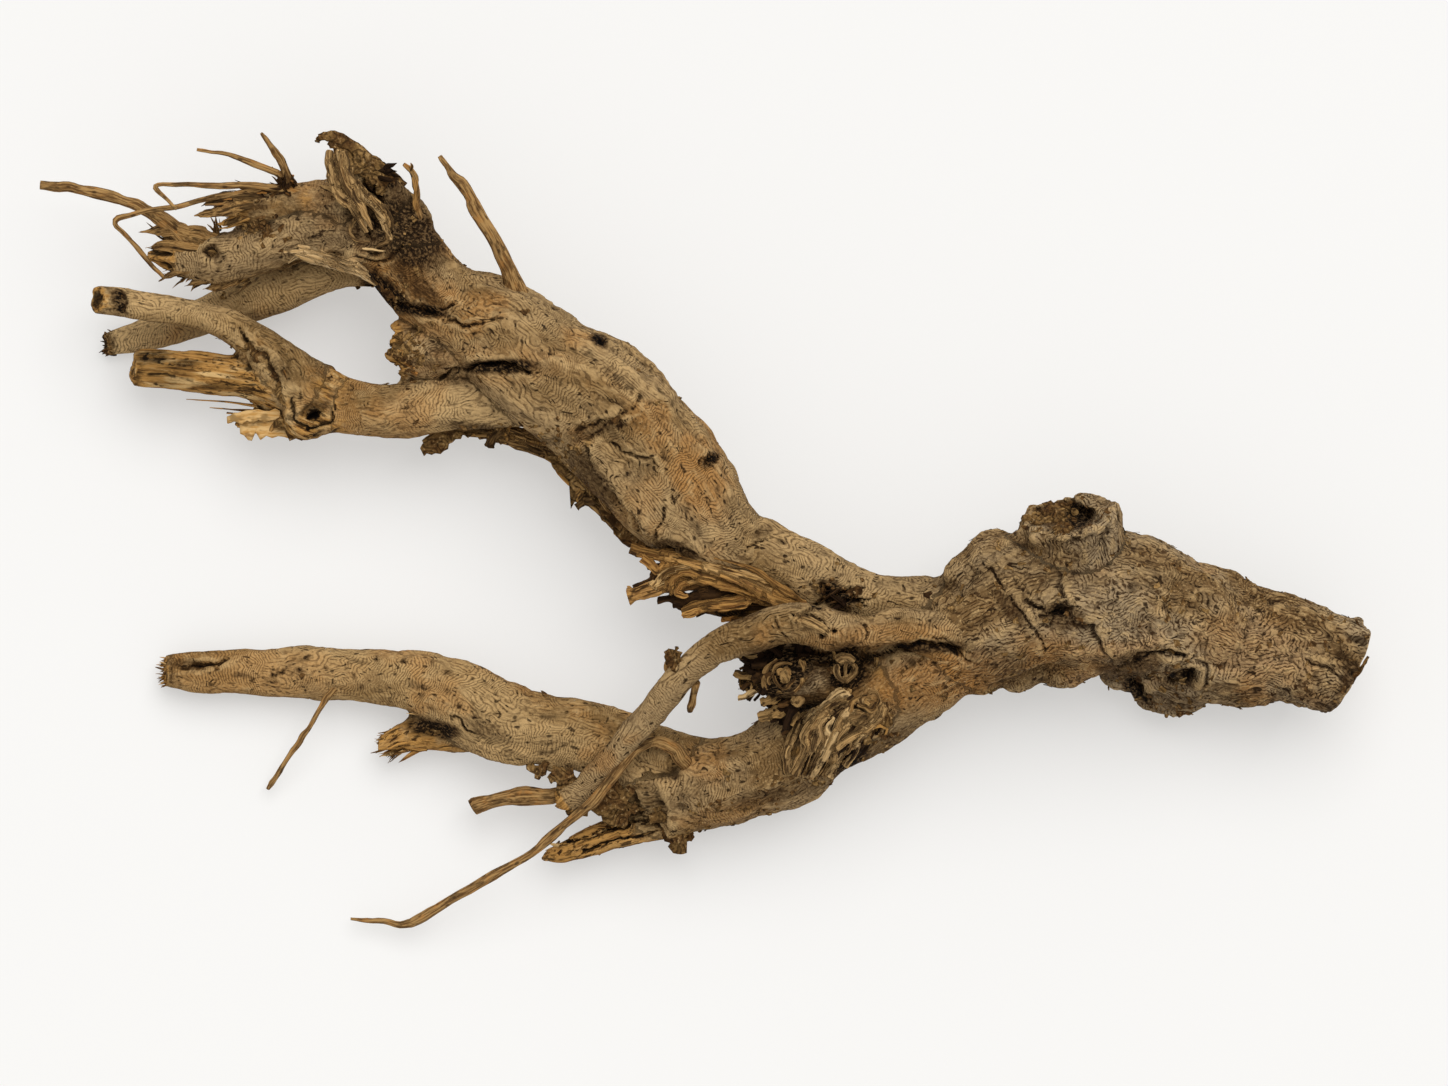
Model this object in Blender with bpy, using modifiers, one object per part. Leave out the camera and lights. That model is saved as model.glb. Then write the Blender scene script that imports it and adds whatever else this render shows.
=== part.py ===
"""A dry root of a shrub or small tree, washed clean and lying on its side.

It grew as one piece of wood, so it is one solid: a sawn trunk with a knot stub and burls, two main limbs
that fork from its neck, the arms and broken stubs on those limbs, and the thin rootlets.
+X points along the root to the sawn trunk end and +Z is up. The origin is under the middle of the root, on
the surface that it lies on.
"""

import bmesh
import bpy
from mathutils import Vector

# Driving dimension: the root's reach along X, in metres. The tables below are drawn for a 584 mm root.
LENGTH = 0.584
DRAWN_LENGTH = 584.0
UNIT = LENGTH / DRAWN_LENGTH

# Limbs and stubs: the middle of the wood as (x, y, z, radius) along its growth, thick end first.
TRUNK = [(298, -66, 34, 22.5), (277, -59, 35, 23.5), (253, -52, 36, 23.5), (228, -46, 38, 26),
         (199, -37, 42, 30), (173, -29, 48, 32.5), (149, -31, 54, 30.5), (129, -39, 56, 28),
         (112, -48, 53, 23.5)]
LOWER_LIMB = [(134, -38, 56, 26.5), (110, -51, 52, 23.5), (91, -63, 48, 22), (71, -76, 43, 22),
              (52, -90, 38, 20), (33, -102, 32, 19), (12, -110, 27, 18.5), (-5, -113, 24, 21),
              (-19, -115, 23, 22)]
PALE_ARM = [(-2, -110, 24, 20), (-20, -105, 24, 20), (-33, -98, 24, 18), (-45, -93, 23, 16),
            (-59, -89, 23, 15.5), (-70, -87, 23, 16), (-91, -81, 22, 19), (-110, -74, 20, 16),
            (-129, -66, 17, 12), (-150, -64, 14, 11), (-174, -63, 12, 11), (-202, -62, 10.4, 11),
            (-226, -62, 9.5, 9.5), (-239, -62, 9, 7.5)]
UPPER_LIMB = [(129, -38, 56, 22), (103, -33, 52, 13), (77, -30, 50, 12.5), (59, -26, 50, 13),
              (44, -21, 50, 15), (26, -14, 49, 17), (7, -8, 48, 20.5), (-12, 10, 48, 25),
              (-31, 32, 50, 27.5), (-50, 53, 53, 27.5), (-70, 70, 53, 25), (-90, 86, 52, 23),
              (-113, 99, 50, 20), (-130, 116, 48, 20.5), (-140, 133, 48, 20.5), (-149, 149, 50, 16),
              (-155, 162, 56, 10.5), (-160, 170, 62, 5.5)]
LONG_ARM = [(-134, 129, 48, 19.5), (-158, 135, 48, 17.5), (-178, 132, 46, 16.5), (-196, 124, 44, 13),
            (-215, 119, 42, 12), (-229, 121, 40, 10.5), (-246, 124, 40, 5)]
SPLIT_STUB = [(-158, 139, 52, 16), (-178, 142, 52, 10.5), (-197, 141, 52, 9), (-216, 142, 51, 4.5)]
UNDER_BRANCH = [(-121, 117, 40, 13), (-143, 117, 32, 10.5), (-160, 116, 26, 9), (-178, 110, 20, 9),
                (-196, 102, 16, 8.5), (-213, 97, 12, 8.5), (-235, 89, 9, 8), (-255, 84, 6.4, 7),
                (-270, 81, 5.2, 5)]
MIDDLE_ARM = [(-46, 58, 50, 22), (-64, 59, 47, 16.5), (-90, 58, 44, 15), (-117, 55, 41, 14),
              (-138, 52, 38, 12.5), (-158, 55, 36, 13.5), (-174, 62, 36, 15), (-187, 76, 37, 12),
              (-200, 84, 37, 9), (-211, 90, 37, 8), (-224, 95, 38, 7), (-253, 101, 42, 6.5),
              (-270, 102, 43, 6.3)]
GOLDEN_STUB = [(-169, 57, 34, 16), (-182, 62, 33, 13), (-200, 66, 31, 10.5), (-222, 69, 28, 9.5),
               (-244, 71, 26, 9), (-254, 71, 25, 8.5)]
TORN_SLAB = [(-160, 54, 36, 12), (-184, 47, 31, 8), (-207, 46, 28, 5)]
RAGGED_STUB = [(-77, 79, 50, 17.5), (-99, 80, 48, 14.5), (-117, 80, 46, 13.5), (-137, 79, 44, 12.5)]
KNOT_STUB = [(167, -35, 50, 25), (163, -18, 56, 24), (160, -2, 63, 23), (158, 8, 68, 21.5)]
ARCH_ROOT = [(123, -53, 62, 10.5), (105, -48, 70, 9), (85, -43, 76, 8.5), (70, -45, 78, 6.5),
             (55, -44, 80, 9.5), (37, -41, 82, 9), (19, -46, 80, 9), (4, -52, 76, 8.5), (-9, -62, 70, 8),
             (-19, -75, 64, 7.5), (-31, -88, 56, 7.5), (-41, -101, 46, 7), (-52, -112, 35, 7.5),
             (-65, -120, 29, 8.5)]
SNAPPED_CORE = [(-11, -128, 24, 9), (-22, -130, 23, 7.5), (-46, -136, 20, 7), (-62, -142, 18, 5),
                (-74, -144, 17, 2)]
LOW_STUB = [(-97, -87, 16, 11), (-112, -88, 15, 10), (-131, -90, 14, 8.5), (-147, -96, 12, 4)]
SPLINTERED_STUB = [(55, -31, 56, 6), (37, -29, 56, 5.5), (22, -26, 55, 6.5), (4, -20, 52, 6.5),
                   (-11, -18, 49, 5.5), (-32, -11, 46, 2)]
FORKED_TIP = [(-10, -20, 47, 4.5), (-22, -25, 45, 3), (-32, -30, 42, 2)]
UNDER_SPLINTER = [(37, -36, 46, 8), (18, -35, 42, 9), (2, -32, 38, 7.5), (-12, -33, 36, 3.5)]
BROKEN_CLUSTER = [(57, -61, 50, 16), (41, -64, 58, 14), (28, -67, 60, 11), (18, -70, 60, 7)]
TORN_FAN = [(77, -70, 50, 17.5), (63, -81, 52, 16), (48, -95, 50, 11.5), (40, -103, 48, 6)]
LIMBS = (TRUNK, LOWER_LIMB, PALE_ARM, UPPER_LIMB, LONG_ARM, SPLIT_STUB, UNDER_BRANCH, MIDDLE_ARM,
         GOLDEN_STUB, TORN_SLAB, RAGGED_STUB, KNOT_STUB, ARCH_ROOT, SNAPPED_CORE, LOW_STUB, SPLINTERED_STUB,
         FORKED_TIP, UNDER_SPLINTER, BROKEN_CLUSTER, TORN_FAN)

# Burls and lumps on the trunk and its neck: (x, y, z, radius).
BURLS = ((206, -60, 24, 23), (190, -52, 28, 21), (200, -34, 20, 20.5), (126, -14, 62, 13),
         (116, -24, 60, 11), (137, -56, 44, 15), (165, -48, 48, 20))

# Rootlets thinner than a pencil, and the dead twigs, as (x, y, z, radius) from the wood to the tip.
DEAD_TWIG = [(-84, 104, 54, 6), (-89, 116, 60, 4.5), (-93, 125, 63, 3.5), (-99, 137, 66, 3.2),
             (-105, 149, 70, 2.5), (-111, 156, 73, 2), (-116, 163, 75, 1)]
FAR_TWIG = [(-222, 123, 42, 5.5), (-234, 133, 48, 3.5), (-246, 140, 52, 3), (-254, 143, 54, 2.5),
            (-265, 146, 56, 2.5), (-280, 150, 58, 2.2), (-292, 151, 60, 2)]
UPRIGHT_TWIG = [(-181, 143, 52, 3), (-185, 160, 62, 2), (-190, 168, 67, 1.5), (-195, 173, 72, 1)]
HOOKED_TWIG = [(-178, 147, 54, 2.5), (-194, 158, 62, 1.6), (-207, 164, 66, 1.2), (-221, 166, 70, 1)]
CURVED_TWIG = [(-122, 132, 56, 4), (-124, 148, 68, 2.2), (-129, 157, 74, 1.5)]
HANGING_TWIG = [(-158, -64, 18, 3), (-168, -76, 20, 2), (-174, -86, 17, 1.6), (-181, -97, 13, 1.6),
                (-192, -113, 6, 1.2)]
BENT_ROOTLET = [(-178, 146, 54, 2.5), (-196, 151, 61, 1.5), (-217, 151, 64, 1.2), (-240, 150, 66, 1.2),
                (-231, 140, 68, 1)]
LOOPED_ROOTLET = [(-180, 143, 54, 2.5), (-198, 147, 58, 1.5), (-213, 146, 59, 1.5), (-234, 141, 60, 1.2),
                  (-257, 135, 62, 1.2), (-249, 124, 54, 1.2), (-238, 113, 46, 1)]
SHORT_SIDE_ROOT = [(-44, -124, 20, 2.5), (-50, -118, 25, 3.5), (-66, -117, 26, 4), (-86, -118, 22, 3.5),
                   (-102, -121, 18, 3.5)]
LONG_ROOTLET = [(-8, -104, 38, 4), (-20, -93, 49, 2.5), (-28, -95, 52, 2.5), (-41, -109, 48, 2),
                (-57, -127, 38, 2), (-77, -142, 30, 2), (-91, -151, 25, 2), (-113, -163, 17, 2),
                (-130, -174, 10, 2), (-147, -173, 8, 1.2), (-158, -172, 7, 1)]
ROOTLETS = (DEAD_TWIG, FAR_TWIG, UPRIGHT_TWIG, HOOKED_TWIG, CURVED_TWIG, HANGING_TWIG, BENT_ROOTLET,
            LOOPED_ROOTLET, SHORT_SIDE_ROOT, LONG_ROOTLET)

# The saw cut across the trunk, and the socket that rot has opened in the knot stub.
SAW_POINT, SAW_DIRECTION = (283, -59, 35), (0.89, -0.42, -0.17)
SOCKET_MOUTH, SOCKET_DIRECTION = (157.5, 10.5, 69.5), (-0.1, 0.86, 0.5)
SOCKET_RADIUS, SOCKET_DEPTH = 12.0, 9.0

VOXEL = 1.9 * UNIT  # finer than the thinnest limb, which keeps the branching shape whole
SMOOTH_PASSES = 5
KEPT_SHARE = 0.08  # of the faces, once flat stretches are thinned
BLOCK = 120 * UNIT  # a cutting block, larger than any limb's width
WOOD_COLOUR = (0.30, 0.20, 0.105, 1.0)


def clear_scene():
    for obj in list(bpy.data.objects):
        bpy.data.objects.remove(obj)


def collection(name):
    made = bpy.data.collections.new(name)
    bpy.context.scene.collection.children.link(made)
    return made


def wood_material():
    material = bpy.data.materials.new("dry_wood")
    material.use_nodes = True
    shader = material.node_tree.nodes["Principled BSDF"]
    shader.inputs["Base Color"].default_value = WOOD_COLOUR
    shader.inputs["Roughness"].default_value = 0.85
    material.diffuse_color = WOOD_COLOUR
    return material


def limb_curve(name, stations, sides, steps):
    """A tapering limb as a curve through its stations. With one step it runs straight between them."""
    curve = bpy.data.curves.new(name, "CURVE")
    curve.dimensions = "3D"
    curve.bevel_depth = UNIT
    curve.bevel_resolution = (sides - 4) // 2
    curve.resolution_u = steps
    curve.use_fill_caps = True
    spline = curve.splines.new("BEZIER")
    spline.radius_interpolation = "CARDINAL" if steps > 1 else "LINEAR"
    spline.bezier_points.add(len(stations) - 1)
    for point, (x, y, z, radius) in zip(spline.bezier_points, stations):
        point.co = Vector((x, y, z)) * UNIT
        point.radius = radius
        point.handle_left_type = point.handle_right_type = "AUTO" if steps > 1 else "VECTOR"
    return bpy.data.objects.new(name, curve)


def add_limb(bm, name, stations, sides=12, steps=4):
    """Adds the closed tube of one limb to bm."""
    limb = limb_curve(name, stations, sides, steps)
    bpy.context.scene.collection.objects.link(limb)
    evaluated = limb.evaluated_get(bpy.context.evaluated_depsgraph_get())
    mesh = bpy.data.meshes.new_from_object(evaluated)
    bm.from_mesh(mesh)
    bpy.data.objects.remove(limb)
    bpy.data.meshes.remove(mesh)


def add_ball(bm, ball):
    x, y, z, radius = ball
    made = bmesh.ops.create_icosphere(bm, subdivisions=3, radius=radius * UNIT)
    bmesh.ops.translate(bm, verts=made["verts"], vec=Vector((x, y, z)) * UNIT)


def mesh_object(name, bm, folder):
    bmesh.ops.remove_doubles(bm, verts=bm.verts, dist=0.02 * UNIT)
    mesh = bpy.data.meshes.new(name)
    bm.to_mesh(mesh)
    bm.free()
    made = bpy.data.objects.new(name, mesh)
    folder.objects.link(made)
    return made


def helper(obj):
    """Keeps a cutter or a piece that is joined on out of the model."""
    obj.hide_render = True
    obj.display_type = "WIRE"
    return obj


def cutting_block(name, point, direction, folder):
    """A cube with one face through point, lying on the side that direction points to."""
    bm = bmesh.new()
    bmesh.ops.create_cube(bm, size=2 * BLOCK)
    bmesh.ops.translate(bm, verts=bm.verts, vec=(0, 0, BLOCK))
    block = helper(mesh_object(name, bm, folder))
    block.location = Vector(point) * UNIT
    block.rotation_mode = "QUATERNION"
    block.rotation_quaternion = Vector(direction).to_track_quat("Z", "Y")
    return block


def floor_block(folder):
    """Everything under the surface that the root lies on, so that it rests on small worn flats."""
    bm = bmesh.new()
    bmesh.ops.create_cube(bm, size=1)
    bmesh.ops.scale(bm, verts=bm.verts, vec=(2 * LENGTH, 2 * LENGTH, BLOCK))
    block = helper(mesh_object("floor_cutter", bm, folder))
    block.location = (0, 0, -BLOCK / 2)
    return block


def socket_cone(folder):
    bm = bmesh.new()
    bmesh.ops.create_cone(bm, cap_ends=True, segments=20, radius1=0.45 * SOCKET_RADIUS * UNIT,
                          radius2=1.15 * SOCKET_RADIUS * UNIT, depth=2 * SOCKET_DEPTH * UNIT)
    cone = helper(mesh_object("socket_cutter", bm, folder))
    cone.location = Vector(SOCKET_MOUTH) * UNIT
    cone.rotation_mode = "QUATERNION"
    cone.rotation_quaternion = Vector(SOCKET_DIRECTION).to_track_quat("Z", "Y")
    return cone


def add_boolean(obj, name, operation, other):
    modifier = obj.modifiers.new(name, "BOOLEAN")
    modifier.operation = operation
    modifier.solver = "EXACT"
    modifier.object = other


def build_root():
    model = collection("dry_root")
    tools = collection("cutters_and_joined_pieces")

    bm = bmesh.new()
    for number, stations in enumerate(LIMBS):
        add_limb(bm, f"limb_{number}", stations)
    for ball in BURLS:
        add_ball(bm, ball)
    root = mesh_object("dry_root", bm, model)
    root.data.materials.append(wood_material())

    remesh = root.modifiers.new("grown_together", "REMESH")
    remesh.mode = "VOXEL"
    remesh.voxel_size = VOXEL
    smooth = root.modifiers.new("rounded_forks", "SMOOTH")
    smooth.iterations = SMOOTH_PASSES
    thin = root.modifiers.new("thinned", "DECIMATE")
    thin.ratio = KEPT_SHARE

    add_boolean(root, "saw_cut", "DIFFERENCE", cutting_block("saw_cutter", SAW_POINT, SAW_DIRECTION, tools))
    add_boolean(root, "worn_flats", "DIFFERENCE", floor_block(tools))
    add_boolean(root, "rot_socket", "DIFFERENCE", socket_cone(tools))
    for number, stations in enumerate(ROOTLETS):
        bm = bmesh.new()
        add_limb(bm, f"rootlet_{number}", stations, sides=8, steps=1)
        add_boolean(root, f"rootlet_{number}", "UNION", helper(mesh_object(f"rootlet_{number}", bm, tools)))


clear_scene()
build_root()
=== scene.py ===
"""The looks of a dry root: weathered bark, bare splintered wood, torn stubs, loose flakes and thin rootlets.

Every length in the tables is in millimetres, and MM turns it into metres in the frame's own scale.
"""

import math
from itertools import product

import bmesh
import bpy
import numpy as np
from mathutils import Euler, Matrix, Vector
from mathutils.bvhtree import BVHTree


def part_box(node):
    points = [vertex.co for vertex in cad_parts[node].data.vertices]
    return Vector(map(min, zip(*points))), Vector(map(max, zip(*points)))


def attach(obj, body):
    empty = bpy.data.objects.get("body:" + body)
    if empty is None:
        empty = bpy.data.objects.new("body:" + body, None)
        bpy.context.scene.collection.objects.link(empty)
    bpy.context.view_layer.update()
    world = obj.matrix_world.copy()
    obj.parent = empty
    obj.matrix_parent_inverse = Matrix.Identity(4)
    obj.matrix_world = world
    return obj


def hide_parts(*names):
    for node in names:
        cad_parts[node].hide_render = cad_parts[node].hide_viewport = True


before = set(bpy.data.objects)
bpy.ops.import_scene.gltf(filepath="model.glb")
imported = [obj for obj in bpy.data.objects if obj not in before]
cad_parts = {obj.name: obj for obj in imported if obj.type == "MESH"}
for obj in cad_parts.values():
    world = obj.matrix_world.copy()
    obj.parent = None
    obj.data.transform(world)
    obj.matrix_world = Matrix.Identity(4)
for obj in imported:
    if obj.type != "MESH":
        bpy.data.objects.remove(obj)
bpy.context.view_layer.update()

LOW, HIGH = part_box("dry_root")
DRAWN_LENGTH = 585.0
MM = (HIGH[0] - LOW[0]) / DRAWN_LENGTH
FLOOR = LOW[2]
RNG = np.random.default_rng(11)

# ---------------------------------------------------------------------------------------------------------
# The wood: the middle of each limb as (x, y, z, radius), thick end first
# ---------------------------------------------------------------------------------------------------------

LIMBS = {
    "trunk": [(298, -66, 34, 22.5), (277, -59, 35, 23), (253, -52, 36, 24.5), (228, -48.5, 38, 27.5), (199, -36, 42, 30),
              (173, -29, 48, 32), (149, -31, 54, 30), (129, -39, 56, 27.5), (112, -48, 53, 23.5)],
    "lower_limb": [(134, -38, 56, 26), (110, -50, 52, 22), (91, -62, 48, 20.5), (71, -75, 43, 20.5), (52, -89.5, 38, 17.5),
                   (33, -102.4, 32, 20), (12, -110.5, 27, 21), (-5, -112, 24, 22), (-19, -115, 23, 22)],
    "pale_arm": [(-2, -110, 24, 20), (-20, -105, 24, 20), (-33, -98, 24, 18), (-45, -93, 23, 16), (-59, -89, 23, 15.5),
                 (-70, -88, 23, 15), (-91, -84.5, 22, 18), (-110, -74, 20, 16), (-129, -67, 17, 12.5),
                 (-150, -64.5, 14, 11.5), (-174, -63.5, 12, 11.5), (-202, -62.5, 10.6, 11), (-226, -62.5, 10, 10),
                 (-240, -63, 9, 8)],
    "upper_limb": [(129, -38, 56, 22), (103, -33, 52, 13), (77, -30, 50, 12.5), (59, -26, 50, 13), (44, -21, 50, 15),
                   (26, -14, 49, 17), (8, -6, 48, 20.5), (-8.5, 13.5, 48, 26), (-27, 36, 50, 28.7), (-47, 56.4, 53, 28.6),
                   (-70, 70, 53, 26.5), (-90, 87, 52, 23.5), (-113, 99, 50, 18), (-129, 115, 48, 18.5),
                   (-140, 133, 48, 19), (-149, 149, 50, 14.5), (-155, 161, 56, 9.5), (-160, 169, 62, 4.5)],
    "long_arm": [(-134, 129, 48, 19.5), (-158, 135, 48, 17.5), (-178, 132, 46, 16.5), (-196, 123, 44, 13.5),
                 (-215, 118.5, 42, 12), (-229, 120, 40, 9.5), (-238, 121, 40, 7)],
    "split_stub": [(-158, 139, 52, 14.5), (-178, 142, 52, 10), (-195, 141, 52, 9), (-206, 142, 51, 6)],
    "under_branch": [(-121, 117, 40, 13), (-143, 117, 32, 10.5), (-160, 116, 29, 9), (-178, 110.5, 25, 10),
                     (-196, 103, 22, 10), (-213, 97, 17, 8.5), (-235, 89, 13, 8), (-255, 84, 9.6, 7), (-268, 81, 7.6, 5)],
    "middle_arm": [(-46, 58, 50, 22), (-64, 59, 47, 16.5), (-90, 58, 44, 14.5), (-117, 55, 41, 13.5),
                   (-138, 52, 38, 12.5), (-158, 54, 36, 12.5), (-175, 61, 36, 14), (-188.5, 75, 37, 11),
                   (-200, 84, 37, 9), (-211, 90, 37, 8), (-224, 94, 38, 7), (-253, 99, 42, 6.5), (-269, 101, 43, 6.3)],
    "golden_stub": [(-169, 57, 34, 16), (-182, 62, 33, 13), (-200, 66, 31, 10.5), (-222, 69, 28, 9.5),
                    (-244, 71, 26, 9), (-253, 71, 25, 8.5)],
    "torn_slab": [(-160, 54, 36, 12), (-184, 48, 31, 7), (-204, 47, 28, 4.5)],
    "ragged_stub": [(-77, 79, 50, 17.5), (-99, 80, 48, 14.5), (-117, 80, 46, 13.5), (-135, 79, 44, 12.5)],
    "knot_stub": [(167, -35, 50, 25), (163, -18, 56, 23.5), (160, -2, 63, 23), (158, 7, 67.5, 23)],
    "arch_root": [(123, -53, 62, 10.5), (105, -48, 70, 9), (85, -43, 76, 8.5), (70, -45, 78, 6.5), (55, -44, 80, 9.5),
                  (37, -41, 82, 9), (19, -46, 80, 9), (4, -52, 76, 8.5), (-9, -62, 70, 7.5), (-19, -75, 64, 7),
                  (-31, -88, 56, 7), (-41, -101, 46, 7), (-52, -112, 35, 7), (-63, -120, 29, 7.5)],
    "snapped_core": [(-11, -128, 24, 9), (-22, -130, 23, 7.5), (-46, -136, 20, 6.5), (-62, -142, 18, 4.5),
                     (-72, -144, 17, 2)],
    "low_stub": [(-97, -87, 16, 11), (-112, -88, 15, 10), (-131, -90, 14, 7.5), (-139, -93, 13, 5)],
    "under_splinter": [(37, -36, 46, 8), (18, -35, 42, 8), (2, -32, 38, 6.5), (-9, -34, 36, 3)],
    "broken_cluster": [(57, -61, 50, 16), (41, -62, 56, 14), (29, -64, 58, 11), (20, -66, 55, 6)],
    "torn_fan": [(77, -70, 50, 17.5), (63, -81, 52, 15), (50, -93, 50, 10.5), (42, -101, 48, 5)],
}

# Burls, lumps and swellings that the limbs grow over: (x, y, z, radius).
BURLS = [(121, -60, 46, 13), (70, -53, 50, 8), (56, -52, 48, 11), (40, -54, 46, 10), (206, -59, 24, 21.5), (190, -52, 28, 19.5), (200, -34, 20, 20.5),
         (127, -14, 62, 16), (117, -21, 60, 13.5), (137, -56, 44, 15), (165, -46, 48, 20), (158, -56, 42, 14),
         (60, -54, 64, 9), (-176, 50, 38, 11), (-190, 70, 42, 9), (-150, 124, 58, 10), (-66, -100, 22, 9)]

# Rootlets and dead twigs: (x, y, z, radius) from the wood to the tip.
ROOTLETS = {
    "dead_twig": [(-82, 101, 54, 6), (-85, 111, 58, 4.2), (-88.5, 119, 62, 3.5), (-93, 128, 64, 3.2), (-99, 138, 67, 3),
                  (-105, 149, 70, 2.6), (-111, 156, 73, 1.9), (-116, 163, 75, 0.9)],
    "far_twig": [(-218, 120, 42, 6), (-228, 128, 45, 4.2), (-238, 136, 49, 3.2), (-248, 141, 53, 2.7),
                 (-258, 145, 56, 2.5), (-270, 148, 58, 2.3), (-281, 150, 59, 2.2), (-291, 151, 60, 2)],
    "upright_twig": [(-180, 143, 52, 3), (-183, 153, 58, 2.2), (-186, 161, 62, 1.9), (-190, 168, 67, 1.5),
                     (-194, 173, 72, 0.7)],
    "hooked_twig": [(-178, 147, 54, 2.4), (-186, 155, 59, 1.7), (-197, 160, 63, 1.4), (-208, 164, 66, 1.1),
                    (-216, 165, 69, 0.9), (-222, 166, 70, 0.6)],
    "straight_twig": [(-174, 146, 55, 3.4), (-186, 149, 59, 1.8), (-200, 151, 62, 1.5), (-215, 150.5, 64, 1.3),
                      (-229, 151, 65, 1.1), (-240.5, 150, 66, 1), (-236, 145, 67, 0.9), (-231, 140, 68, 0.8)],
    "looped_rootlet": [(-176, 145, 55, 2.6), (-190, 149, 58, 1.6), (-204, 147, 59, 1.4), (-219, 144.5, 60, 1.3),
                       (-234, 141, 60, 1.2), (-247, 139, 61, 1.2), (-258, 135, 62, 1.2), (-254, 129, 58, 1.1),
                       (-247, 121, 52, 1.1), (-242, 115, 48, 0.9), (-238, 111, 45, 0.8)],
    "thin_side_twig": [(-180, 144, 54, 2), (-192, 144, 57, 1.3), (-206, 143, 59, 1), (-219, 142, 61, 0.5)],
    "curved_twig": [(-125, 136, 58, 2.4), (-126, 142, 62, 1.6), (-126.4, 150, 68, 1.5), (-128, 156, 73, 1.4),
                    (-131.4, 159.4, 75, 1.0)],
    "hanging_twig": [(-160, -66.5, 19, 2.6), (-164.5, -71, 21, 1.8), (-169.5, -78, 20, 1.2), (-174.5, -86, 18, 1.1),
                     (-179, -93, 15, 1.4), (-184.5, -101, 12, 1.1), (-190.5, -110, 8, 1.2), (-193.5, -114.5, 6, 0.9)],
    "short_side_root": [(-42, -126, 19, 2.5), (-47, -120, 22, 3), (-54, -117, 25, 3.6), (-68, -117, 25, 4.2),
                        (-86, -118, 21, 3.8), (-97, -120.5, 18, 3.9), (-103, -122.5, 16, 3.7)],
    "long_rootlet": [(-9, -103, 42, 3.6), (-13, -97, 47, 3.2), (-19, -93.5, 50, 2.8), (-26, -94, 52, 2.6),
                     (-33, -99, 52, 2.5), (-41, -109, 49, 2.4), (-50, -120, 43, 2.3), (-62, -130, 36, 2.2),
                     (-77, -142, 30, 2.1), (-93, -152, 24, 2.1), (-112, -163, 17, 2), (-127, -172.5, 11, 2),
                     (-133, -174.5, 9, 1.7), (-145, -173, 8, 1.2), (-157, -172, 7, 0.6)],
    "hooked_spur": [(-13, -66, 67, 2.5), (-16, -61, 66, 2.6), (-14, -57, 66, 2.4)],
    "drooping_spur": [(-4, -67, 66, 2), (-5, -73, 60, 1.6), (-7, -79, 57, 1.6), (-5, -76, 55, 1)],
}

# How rugged (0 smooth, 1 scaly), how bare (1 where the bark is gone) and how pale the bark of each limb is.
BARK = {
    "trunk": (1.0, 0.0, 0.35), "lower_limb": (0.45, 0.0, 0.2), "pale_arm": (0.05, 0.0, 0.65),
    "upper_limb": (0.3, 0.0, 0.55), "long_arm": (0.4, 0.05, 0.35), "split_stub": (0.6, 0.4, 0.2),
    "under_branch": (0.05, 0.05, 1.6), "middle_arm": (0.08, 0.0, 0.95), "golden_stub": (0.2, 1.0, 1.0),
    "torn_slab": (0.2, 0.7, 0.6), "ragged_stub": (0.5, 0.15, 0.35), "knot_stub": (1.0, 0.0, 0.3),
    "arch_root": (0.4, 0.1, 0.45), "snapped_core": (0.3, 1.0, 0.2), "low_stub": (0.4, 0.6, 0.3),
    "under_splinter": (0.6, 0.9, 0.0),
    "broken_cluster": (0.8, 0.3, 0.0), "torn_fan": (0.6, 0.45, 0.2),
}

# How far the torn end of a limb runs out in jagged fingers, in millimetres.
TORN_ENDS = {"long_arm": 9, "split_stub": 9, "under_branch": 2, "middle_arm": 1.2, "golden_stub": 3, "torn_slab": 7,
             "ragged_stub": 6, "snapped_core": 8, "low_stub": 9,
             "under_splinter": 7, "broken_cluster": 7, "torn_fan": 7, "pale_arm": 2, "arch_root": 5,
             }

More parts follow.
